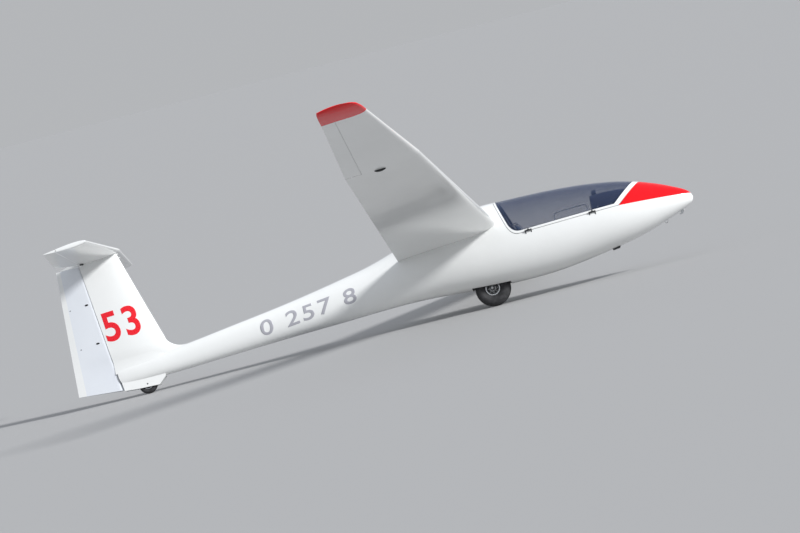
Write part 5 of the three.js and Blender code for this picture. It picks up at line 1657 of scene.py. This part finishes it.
def compass_patches():
    """Ball in a short can, facing aft, on a bracket that stands on the shield."""
    x, z, r = COMPASS["x"], COMPASS["z"], COMPASS["r"]
    centre = (x, 0, z)
    angle = steps(0, pi / 2, 12)
    dome = [(0.016 + 0.014 * cos(t), 0.88 * r * sin(t)) for t in angle]
    can = [(0.016, r), (-0.020, r), (-0.024, 0.8 * r), (-0.025, 0)]
    patches = turned(dome + [(0.016, 0.88 * r)], centre, AFT, 4, sides=40)
    patches += turned([(0.016, 0.5 * r), (0.018, 0.9 * r), *can], centre, AFT, 0, sides=40)
    return patches + block((x - 0.012, -0.010, COMPASS["foot_z"]), (x + 0.016, 0.010, z - r + 0.003), 0)


KNOB_AT = (1.2047, 0.100, 0.612)


def release_knob():
    """Stem and rounded handle, turned in one."""
    stem = [(0, 0), (0, 0.0048), (0.026, 0.0048)]
    handle = [(0.029, 0.0105), (0.035, 0.012), (0.040, 0.0105), (0.042, 0.006), (0.042, 0)]
    patches = turned(stem + handle, KNOB_AT, AFT, sides=28)
    return make_piece("tow_release", patches, ["yellow"], "airframe", ["release_knob"])


dials = [one for row in DIALS for one in dial(*row)]
finishes = ["black_and_shade", "dial_black", "dial_white", "steel", "acrylic_clear"]
dials_piece = make_piece(
    "instrument_dials", dials + compass_patches(), finishes, "airframe"
)
print(dials_piece.name, release_knob().name)

# %% Stick, gaiter and levers
# Columns: share of the way up the grip, radius
GRIP = np.array([
    [0.00, 0.0102],
    [0.05, 0.0162],
    [0.28, 0.0146],
    [0.52, 0.0168],
    [0.80, 0.0148],
    [0.93, 0.0152],
    [1.00, 0.0060],
])
STICK_FOOT, STICK_TOP = (1.0070, 0, 0.3360), (0.984, 0, 0.560)
GRIP_LOW, GRIP_TOP = (0.985, 0, 0.545), (0.972, 0, 0.664)
GRIP_BUTTON = (0.9745, 0, 0.6605)
GAITER = {"foot": (1.011, 0.3335), "top": (1.003, 0.378), "r1": 0.047, "r2": 0.0145}
GAITER_FOLDS = {"count": 5, "depth": 0.0035, "slope": 0.40}
CONSOLE_TOP = 0.456


def stick_piece():
    """Steel stick, a rubber grip whose radius follows its table, and a red button on top."""
    share = steps(0, 1, 40)
    radius = smooth_rows(GRIP, share)[:, 0]
    patches = tube(line(STICK_FOOT, STICK_TOP), 0.009, finish=1, up=(0, 1, 0))
    patches += tube(line(GRIP_LOW, GRIP_TOP, 40), radius, sides=28, up=(0, 1, 0))
    button = [(0, 0), (0, 0.0048), (0.004, 0.0042), (0.005, 0)]
    patches += turned(button, GRIP_BUTTON, (-0.45, 0, 0.9), 2, sides=20)
    finishes = ["grip", "steel", "red_marking"]
    return make_piece(
        "stick_and_grip", patches, finishes, "airframe", ["control_stick"], sharp=50
    )


def gaiter_piece():
    """Rings from the pan up to the stick. The radius falls evenly and waves in and out at each fold, and the
    rings turn from the pan's slope to level."""
    t = steps(0, 1, 64)[:, None]
    turn = round_steps(48)[None, :]
    wave = GAITER_FOLDS["depth"] * np.cos(2 * pi * GAITER_FOLDS["count"] * t) * np.minimum(1, 6 * (1 - t))
    radius = GAITER["r1"] + (GAITER["r2"] - GAITER["r1"]) * t**0.8 + wave
    (x1, z1), (x2, z2) = GAITER["foot"], GAITER["top"]
    x = x1 + (x2 - x1) * t + radius * np.cos(turn)
    z = z1 + (z2 - z1) * t + GAITER_FOLDS["slope"] * (1 - t) * radius * np.cos(turn)
    outer = stacked(x, radius * np.sin(turn), z)
    patches = closed_body(outer)
    return make_piece(
        "stick_bellows", patches, ["gaiter"], "airframe", ["stick_gaiter"], sharp=60
    )


def lever_piece(node, x, y, height, reach, colour):
    """Steel stem out of a plate, and a round handle along the machine with domed ends."""
    top = CONSOLE_TOP + height
    rear = [(-reach, 0), (-reach, 0.006), (-reach + 0.002, 0.0095), (-reach + 0.006, 0.0118)]
    profile = [*rear, (0, 0.0108), *[(-distance, radius) for distance, radius in rear[::-1]]]
    patches = turned(profile, (x, y, top), (1, 0, 0), 0, sides=28)
    patches += tube(line((x, y, CONSOLE_TOP + 0.0005), (x, y, top)), 0.006, finish=1, up=(0, 1, 0))
    plate, low, high = 1.6 * reach, CONSOLE_TOP + 0.0003, CONSOLE_TOP + 0.002
    patches += block((x - plate, y - 0.011, low), (x + plate, y + 0.011, high), 2)
    return make_piece(
        f"{node}_handle", patches, [colour, "steel", "black_and_shade"], "airframe", [node], sharp=40
    )


print(stick_piece().name, gaiter_piece().name)
print(lever_piece("airbrake_lever", 0.860, 0.250, 0.072, 0.048, "blue").name)
print(lever_piece("trim_lever", 1.010, 0.246, 0.040, 0.016, "green").name)

# %% [markdown]
# ## Cushions
#
# A seat cushion is two covers sewn together round a foam core. Drawn by hand it tends to look like a
# bar of soap. Here it starts as a slack flat form on the seat's own line, which is remeshed evenly and
# blown up a little as cloth, with a limit on how far any point may go. What lies on the pan stays flat.
# Sewn channels and the welt round the edge come afterwards, because the remesh would wipe them away.

# %% Cushion form and simulation
# The seat seen from the side, from the knees down to the hips and up the back. Columns: x, z
SEAT_PATH = np.array([
    [1.185, 0.394],
    [1.060, 0.352],
    [0.935, 0.302],
    [0.810, 0.264],
    [0.700, 0.262],
    [0.622, 0.305],
    [0.530, 0.445],
    [0.440, 0.600],
    [0.368, 0.745],
])
HEADREST_PATH = np.array([[0.2296, 0.795], [0.2296, 0.909]])
PAD_LOW = 0.0008
PAD_ROOM = {"lining": 0.006, "wall": 0.012}
VOXEL = 0.0055
CLOTH_FRAMES = 20
CLOTH_PRESSURE = 4
CHANNEL = {"half_width": 0.0065, "depth": 0.006}
WELT_RADIUS = 0.0032


def seat_line(path, at):
    """Points and outward normals at shares of a path's length. The normal turns evenly between corners."""
    run = np.concatenate([[0], np.cumsum(np.hypot(*np.diff(path, axis=0).T))])
    along = np.gradient(path, run, axis=0)
    normal = stacked(along[:, 1], -along[:, 0])
    point = straight_rows(np.column_stack([run, path]), at * run[-1])
    out = straight_rows(np.column_stack([run, normal]), at * run[-1])
    return point, out / np.linalg.norm(out, axis=-1, keepdims=True)


def pad_width(path, half_width, u):
    """Half width at u from -1 to 1: rounded corners by a sixth power, sides that pull in a little between
    them, and never closer to the cockpit wall than a few millimetres."""
    point, _ = seat_line(path, (u + 1) / 2)
    gap = PAD_ROOM["lining"]
    room = width_at(point[:, 0], point[:, 1] + gap, WALL + gap) - PAD_ROOM["wall"]
    return np.minimum(half_width, room) * (0.965 + 0.035 * u**2) * (1 - np.abs(u) ** 6) ** (1 / 6)


def pad_form(path, height, half_width):
    """Closed loops across the path. Each is a superellipse as high as the crown says, on a flat base."""
    u = np.sin(steps(-pi / 2, pi / 2, 45))
    point, out = seat_line(path, (u + 1) / 2)
    wide = pad_width(path, half_width, u)[:, None]
    turn = round_steps(64)[None, :]
    across, up = [np.sign(v) * np.abs(v) ** 0.45 for v in (np.cos(turn), np.sin(turn))]
    crown = height * (0.82 + 0.18 * (1 - across**2)) * (1 - np.abs(u[:, None]) ** 8) ** (1 / 8)
    rise = PAD_LOW + crown * (1 + up) / 2
    x, z = [point[:, k, None] + out[:, k, None] * rise for k in (0, 1)]
    return patch(stacked(x, wide * across, z), wrap_columns=True)


def mesh_points(mesh):
    points = np.empty(3 * len(mesh.vertices))
    mesh.vertices.foreach_get("co", points)
    return points.reshape(-1, 3)


def evaluated(made):
    return bpy.data.meshes.new_from_object(made.evaluated_get(bpy.context.evaluated_depsgraph_get()))


def blown_up(form, cap):
    """Even remesh of a closed form, then a cloth with pressure and no weight, each point held to a cap."""
    mesh = bpy.data.meshes.new("slack")
    points, faces, _ = form
    mesh.from_pydata(parked(points).tolist(), [], faces)
    weld(mesh)
    slack = linked("slack", mesh)
    remesh = slack.modifiers.new("remesh", "REMESH")
    remesh.mode = "VOXEL"
    remesh.voxel_size = VOXEL
    slack.data = evaluated(slack)
    slack.modifiers.clear()
    start = mesh_points(slack.data)
    cloth = slack.modifiers.new("cloth", "CLOTH")
    cloth.settings.use_pressure = True
    cloth.settings.uniform_pressure_force = CLOTH_PRESSURE
    cloth.settings.effector_weights.gravity = 0
    for number in range(1, CLOTH_FRAMES + 1):
        bpy.context.scene.frame_set(number)
    moved = mesh_points(evaluated(slack)) - start
    bpy.context.scene.frame_set(1)
    length = np.linalg.norm(moved, axis=1, keepdims=True)
    start = start + moved * np.minimum(1, cap / np.maximum(length, 1e-9))
    faces = [list(face.vertices) for face in slack.data.polygons]
    bpy.data.objects.remove(slack)
    return start, faces


def smoothed(points, faces, rounds):
    """Each point moves half way to the mean of the points it shares an edge with, a few times."""
    quads = np.array([face if len(face) == 4 else [*face, face[-1]] for face in faces])
    first, second = quads.ravel(), np.roll(quads, -1, axis=1).ravel()
    first, second = np.concatenate([first, second]), np.concatenate([second, first])
    count = np.maximum(np.bincount(first, minlength=len(points)), 1)[:, None]
    for _ in range(rounds):
        total = np.stack([np.bincount(first, points[second, k], len(points)) for k in range(3)], -1)
        points = 0.5 * points + 0.5 * total / count
    return points


def on_path(path, points):
    """Share of the path's length, height above it and normal, at the station nearest to each level point."""
    at = steps(0, 1, 400)
    spot, out = seat_line(path, at)
    away = points[:, None, [0, 2]] - spot[None]
    nearest = np.argmin((away**2).sum(-1), 1)
    height = (away[np.arange(len(points)), nearest] * out[nearest]).sum(-1)
    return at[nearest], height, out[nearest]


def pad_piece(name, path, height, half_width, cap, channels, node):
    """Blown-up form with a flat base and sewn channels, as one cushion."""
    points, faces = blown_up(pad_form(path, height - cap, half_width), cap)
    level = (smoothed(points, faces, 3) - ORIGIN) @ AXES.T
    share, rise, out = on_path(path, level)
    length = np.hypot(*np.diff(path, axis=0).T).sum()
    press = sum(np.exp(-(((share - spot) * length / CHANNEL["half_width"]) ** 2)) for spot in channels)
    press = press * CHANNEL["depth"] * np.clip((rise - 0.4 * height) / (0.4 * height), 0, 1)
    low = np.maximum(PAD_LOW - rise, 0)
    level[:, [0, 2]] += out * (low - press)[:, None]
    made = make_piece(name, [(level, faces, 0)], ["cushion"], "airframe", [node], sharp=180)
    finer = made.modifiers.new("finer", "SUBSURF")
    finer.levels = finer.render_levels = 1
    return level


def welt_piece(name, path, height, half_width, level):
    """Sewn cord round the edge: it runs through the skin points nearest to the form's own outline."""
    u = np.sin(steps(-pi / 2, pi / 2, 60))
    point, out = seat_line(path, (u + 1) / 2)
    wide = pad_width(path, half_width, u)
    middle = point + out * 0.55 * height
    side = stacked(middle[:, 0], wide + 0.004, middle[:, 1])
    outline = np.concatenate([side, mirrored(side)[::-1][1:-1]])
    nearest = np.argmin(((outline[:, None] - level[None]) ** 2).sum(-1), 1)
    ring = level[nearest]
    for _ in range(6):
        ring = 0.5 * ring + 0.25 * (np.roll(ring, 1, 0) + np.roll(ring, -1, 0))
    mean_out = out.mean(0)
    patches = welt(ring, WELT_RADIUS, up=(mean_out[0], 0, mean_out[1]))
    return make_piece(name, patches, ["webbing"], "airframe", sharp=60)


# Columns: piece, path, height, half width, how far a point may swell, channels, node
PADS = [
    ("seat_pad", SEAT_PATH[2:5], 0.042, 0.205, 0.006, (0.34, 0.66), "seat_cushion"),
    ("back_pad", SEAT_PATH[6:9], 0.036, 0.195, 0.006, (0.26, 0.50, 0.74), "back_cushion"),
    ("head_pad", HEADREST_PATH, 0.046, 0.084, 0.006, (0.5,), "headrest"),
]
for name, path, height, half_width, cap, channels, node in PADS:
    skin = pad_piece(name, path, height, half_width, cap, channels, node)
    print(name, len(skin), "points,", welt_piece(f"{name}_welt", path, height, half_width, skin).name)

# %% Harness
# Middle line of each strap. Columns: x, y, z
SHOULDER = np.array([
    [0.2330, 0.062, 0.7600],
    [0.3400, 0.062, 0.7680],
    [0.3980, 0.064, 0.7720],
    [0.4300, 0.068, 0.7250],
    [0.4950, 0.076, 0.5980],
    [0.5850, 0.076, 0.4520],
    [0.6500, 0.060, 0.3620],
    [0.7100, 0.030, 0.3160],
])
LAP = np.array([
    [0.6350, 0.172, 0.3000],
    [0.6500, 0.160, 0.3300],
    [0.6800, 0.110, 0.3200],
    [0.7150, 0.035, 0.3140],
])
STRAP = (0.022, 0.0024)  # half width and thickness
ADJUSTER = (0.027, 0.0062)
BUCKLE = (0.735, 0.0, 0.3085)


def ribbon(points, across, half_width, thickness, finish=0):
    """Flat strap on a smooth line. Its width is the given direction, made square to the line."""
    run = np.concatenate([[0], np.cumsum(np.linalg.norm(np.diff(points, axis=0), axis=1))])
    path = smooth_rows(np.column_stack([run, points]), steps(0, run[-1], 60))
    along = np.gradient(path, axis=0)
    along /= np.linalg.norm(along, axis=1)[:, None]
    side = np.asarray(across, float) - along * (along @ np.asarray(across, float))[:, None]
    side /= np.linalg.norm(side, axis=1)[:, None]
    over = np.cross(along, side)
    share = steps(-1, 1, 5)[None, :, None]
    flat = path[:, None] + half_width * share * side[:, None]
    return slab(flat + thickness / 2 * over[:, None], flat - thickness / 2 * over[:, None], finish=finish)


def harness_piece():
    """Two shoulder straps with their adjusters, two lap straps, and the round buckle where they meet."""
    patches = []
    for way in (1, -1):
        turn = np.array([1, way, 1])
        patches += ribbon(SHOULDER * turn, (0, 1, 0), *STRAP)
        patches += ribbon(LAP * turn, (1, 0, 0.1), *STRAP)
        start, end = SHOULDER[4:6] * turn
        frame_line = start + (end - start) * np.array([[0.40], [0.50], [0.60]])
        patches += ribbon(frame_line, (0, 1, 0), *ADJUSTER, 1)
    disc = [(0, 0), (0, 0.026), (0.004, 0.029), (0.012, 0.029), (0.016, 0.025), (0.017, 0)]
    knob = [(0.017, 0), (0.017, 0.015), (0.020, 0.014), (0.021, 0)]
    patches += turned(disc, BUCKLE, (0, 0, 1), 1, sides=40) + turned(knob, BUCKLE, (0, 0, 1), 2, sides=32)
    finishes = ["webbing", "steel", "red_marking"]
    return make_piece("harness", patches, finishes, "airframe", sharp=50)


print(harness_piece().name)

# %% [markdown]
# ## Numerals and small fittings
#
# Racing numbers are cut from thin film and stuck on. A picture on the skin would need a map and would
# blur up close. Here the outline of plain numerals is cut by a net of lines, so that it can bend, and
# each of its points is laid on the same formula that made the skin below it.

# %% Numerals
# Red figures on the fin and grey ones on the boom, from their rear lower corner
FIN_FIGURES = {"text": "53", "x": -4.018, "z": 0.610, "width": 0.385, "height": 0.315}
FIN_LEAN, FIN_RISE = 0.100, 0.050  # how far they lean back and climb forwards, per metre
BOOM_FIGURES = {"text": "0 257 8", "x": -2.430, "width": 1.055, "height": 0.160}
FILM = 0.0006
NET_LINES = (90, 24)


def numeral_net(text, bold, spacing):
    """Plain numerals as points between 0 and 1 both ways, cut along a square net, and their faces."""
    curve = bpy.data.curves.new("numerals", "FONT")
    curve.body = text
    curve.offset = bold
    curve.space_character = spacing
    flat = linked("numerals", curve)
    mesh = evaluated(flat)
    bpy.data.objects.remove(flat)
    work = bmesh.new()
    work.from_mesh(mesh)
    points = np.array([vertex.co[:] for vertex in work.verts])
    low, size = points.min(0), np.ptp(points, axis=0)
    for axis, count in enumerate(NET_LINES):
        normal = np.eye(3)[axis]
        for share in steps(0, 1, count)[1:-1]:
            everything = work.verts[:] + work.edges[:] + work.faces[:]
            bmesh.ops.bisect_plane(work, geom=everything, plane_co=low + size * share, plane_no=normal)
    bmesh.ops.remove_doubles(work, verts=work.verts, dist=1e-5)
    points = np.array([vertex.co[:] for vertex in work.verts])
    faces = [[vertex.index for vertex in face.verts] for face in work.faces]
    work.free()
    return ((points - low) / np.where(size > 0, size, 1))[:, :2], faces


def film_piece(name, points, faces, finish):
    """Thin film on the skin, its thickness laid inwards from the face that shows."""
    mesh = bpy.data.meshes.new(name)
    mesh.from_pydata(parked(points).tolist(), [], faces)
    mesh.shade_smooth()
    mesh.materials.append(FINISH[finish])
    made = linked(name, mesh)
    thick = made.modifiers.new("film", "SOLIDIFY")
    thick.thickness = FILM
    thick.offset = -1
    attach(made, "airframe")
    return made


def along_side(facts, share, port):
    """x of points that read from left to right on each side: forwards to starboard, backwards to port."""
    return facts["x"] + facts["width"] * (1 - share if port > 0 else share)


fin_net, fin_faces = numeral_net(FIN_FIGURES["text"], 0.020, 1.12)
boom_net, boom_faces = numeral_net(BOOM_FIGURES["text"], 0.012, 1.16)
for port, name in SIDES:
    x = along_side(FIN_FIGURES, fin_net[:, 0], port)
    z = FIN_FIGURES["z"] + FIN_FIGURES["height"] * fin_net[:, 1] + (x - FIN_FIGURES["x"]) * FIN_RISE
    x = x - (z - FIN_FIGURES["z"]) * FIN_LEAN
    front, rear = ends_of(fin_skin, z)
    y = fin_skin(z, (front - x) / (front - rear), 1)[:, 1] + FILM
    points = stacked(x, port * y, z)
    fin_film = film_piece(f"fin_figures_{name}", points, fin_faces, "red_marking")

    x = along_side(BOOM_FIGURES, boom_net[:, 0], port)
    z = fuselage_shape(x)[3] + BOOM_FIGURES["height"] * (boom_net[:, 1] - 0.5)
    points = body_point(x, angle_at(x, z), -FILM) * [1, port, 1]
    boom_film = film_piece(f"boom_figures_{name}", points, boom_faces, "grey_marking")
    print(fin_film.name, boom_film.name)

# %% Small fittings on the tail
# Hinge covers on the rudder's nose line, whose near-black is painted shade of the hinge slots, and drain
# fittings near its trailing edge. Columns: x, z, size
RUDDER_MARKS = [
    (-4.152, 1.049, 0.014),
    (-4.125, 0.632, 0.014),
    (-4.336, 1.034, 0.006),
    (-4.315, 0.612, 0.006),
]


def on_fin(x, z):
    """Half width of fin or rudder at a place seen from the side."""
    front, rear = ends_of(fin_skin, np.array(z))
    return float(fin_skin(np.array(z), (front - x) / (front - rear), 1)[1])


def rudder_fittings():
    """Low domes, longer along the machine than they are high."""
    patches = []
    for x, z, size in RUDDER_MARKS:
        turn, up = round_steps(24)[None, :], steps(0, pi / 2, 7)[:, None]
        for way in (1, -1):
            across = on_fin(x, z) + 0.35 * size * np.sin(up) - 0.0004 + 0 * turn
            reach = 1.5 * size * np.cos(up) * np.cos(turn)
            grid = stacked(x + reach, way * across, z + 0.7 * size * np.cos(up) * np.sin(turn))
            patches += [patch(grid, wrap_columns=True), lid(grid[0])]
    return make_piece("rudder_fittings", patches, ["seal_and_gap_shade"], "rudder", sharp=60)


BRACKET = {"y1": 0.070, "y2": 0.082, "ahead": 0.030, "depth": 0.014}
PIN = [(-0.004, 0), (-0.004, 0.006), (0.014, 0.006), (0.016, 0.004), (0.016, 0)]
PINS_Z = (1.452, 1.492)
LOOP = {"x": 1.892, "z": 0.428, "half_length": 0.017, "depth": 0.026, "r": 0.0036}


def tail_fittings():
    """Two brackets under the tailplane at the elevator's hinge, and two pins ahead of the fin."""
    x = ELEVATOR["x"] + BRACKET["ahead"]
    under = float(tail_skin(np.array(0.2), np.array((TAILPLANE[0, 1] - x) / 0.7), -1)[1])
    patches = []
    for way in (1, -1):
        low = (x - 0.010, way * BRACKET["y1"], under - BRACKET["depth"])
        patches += block(low, (x + 0.030, way * BRACKET["y2"], under + 0.002), 0)
    for z in PINS_Z:
        front = float(fin_skin(np.array(z), np.array(0.0), 1)[0])
        patches += turned(PIN, (front, 0, z), (1, 0, 0), 1)
    return make_piece("tail_fittings", patches, ["black_and_shade", "white"], "airframe", sharp=40)


def belly_fitting():
    """Small steel loop under the nose: a half circle of bar with its ends in the skin."""
    turn = steps(0, pi, 24)
    x, z = LOOP["x"] + LOOP["half_length"] * np.cos(turn), LOOP["z"] - LOOP["depth"] * np.sin(turn)
    patches = tube(stacked(x, 0 * turn, z), LOOP["r"], up=(0, 1, 0))
    return make_piece("belly_fitting", patches, ["steel"], "airframe", sharp=60)


print(rudder_fittings().name, tail_fittings().name, belly_fitting().name)
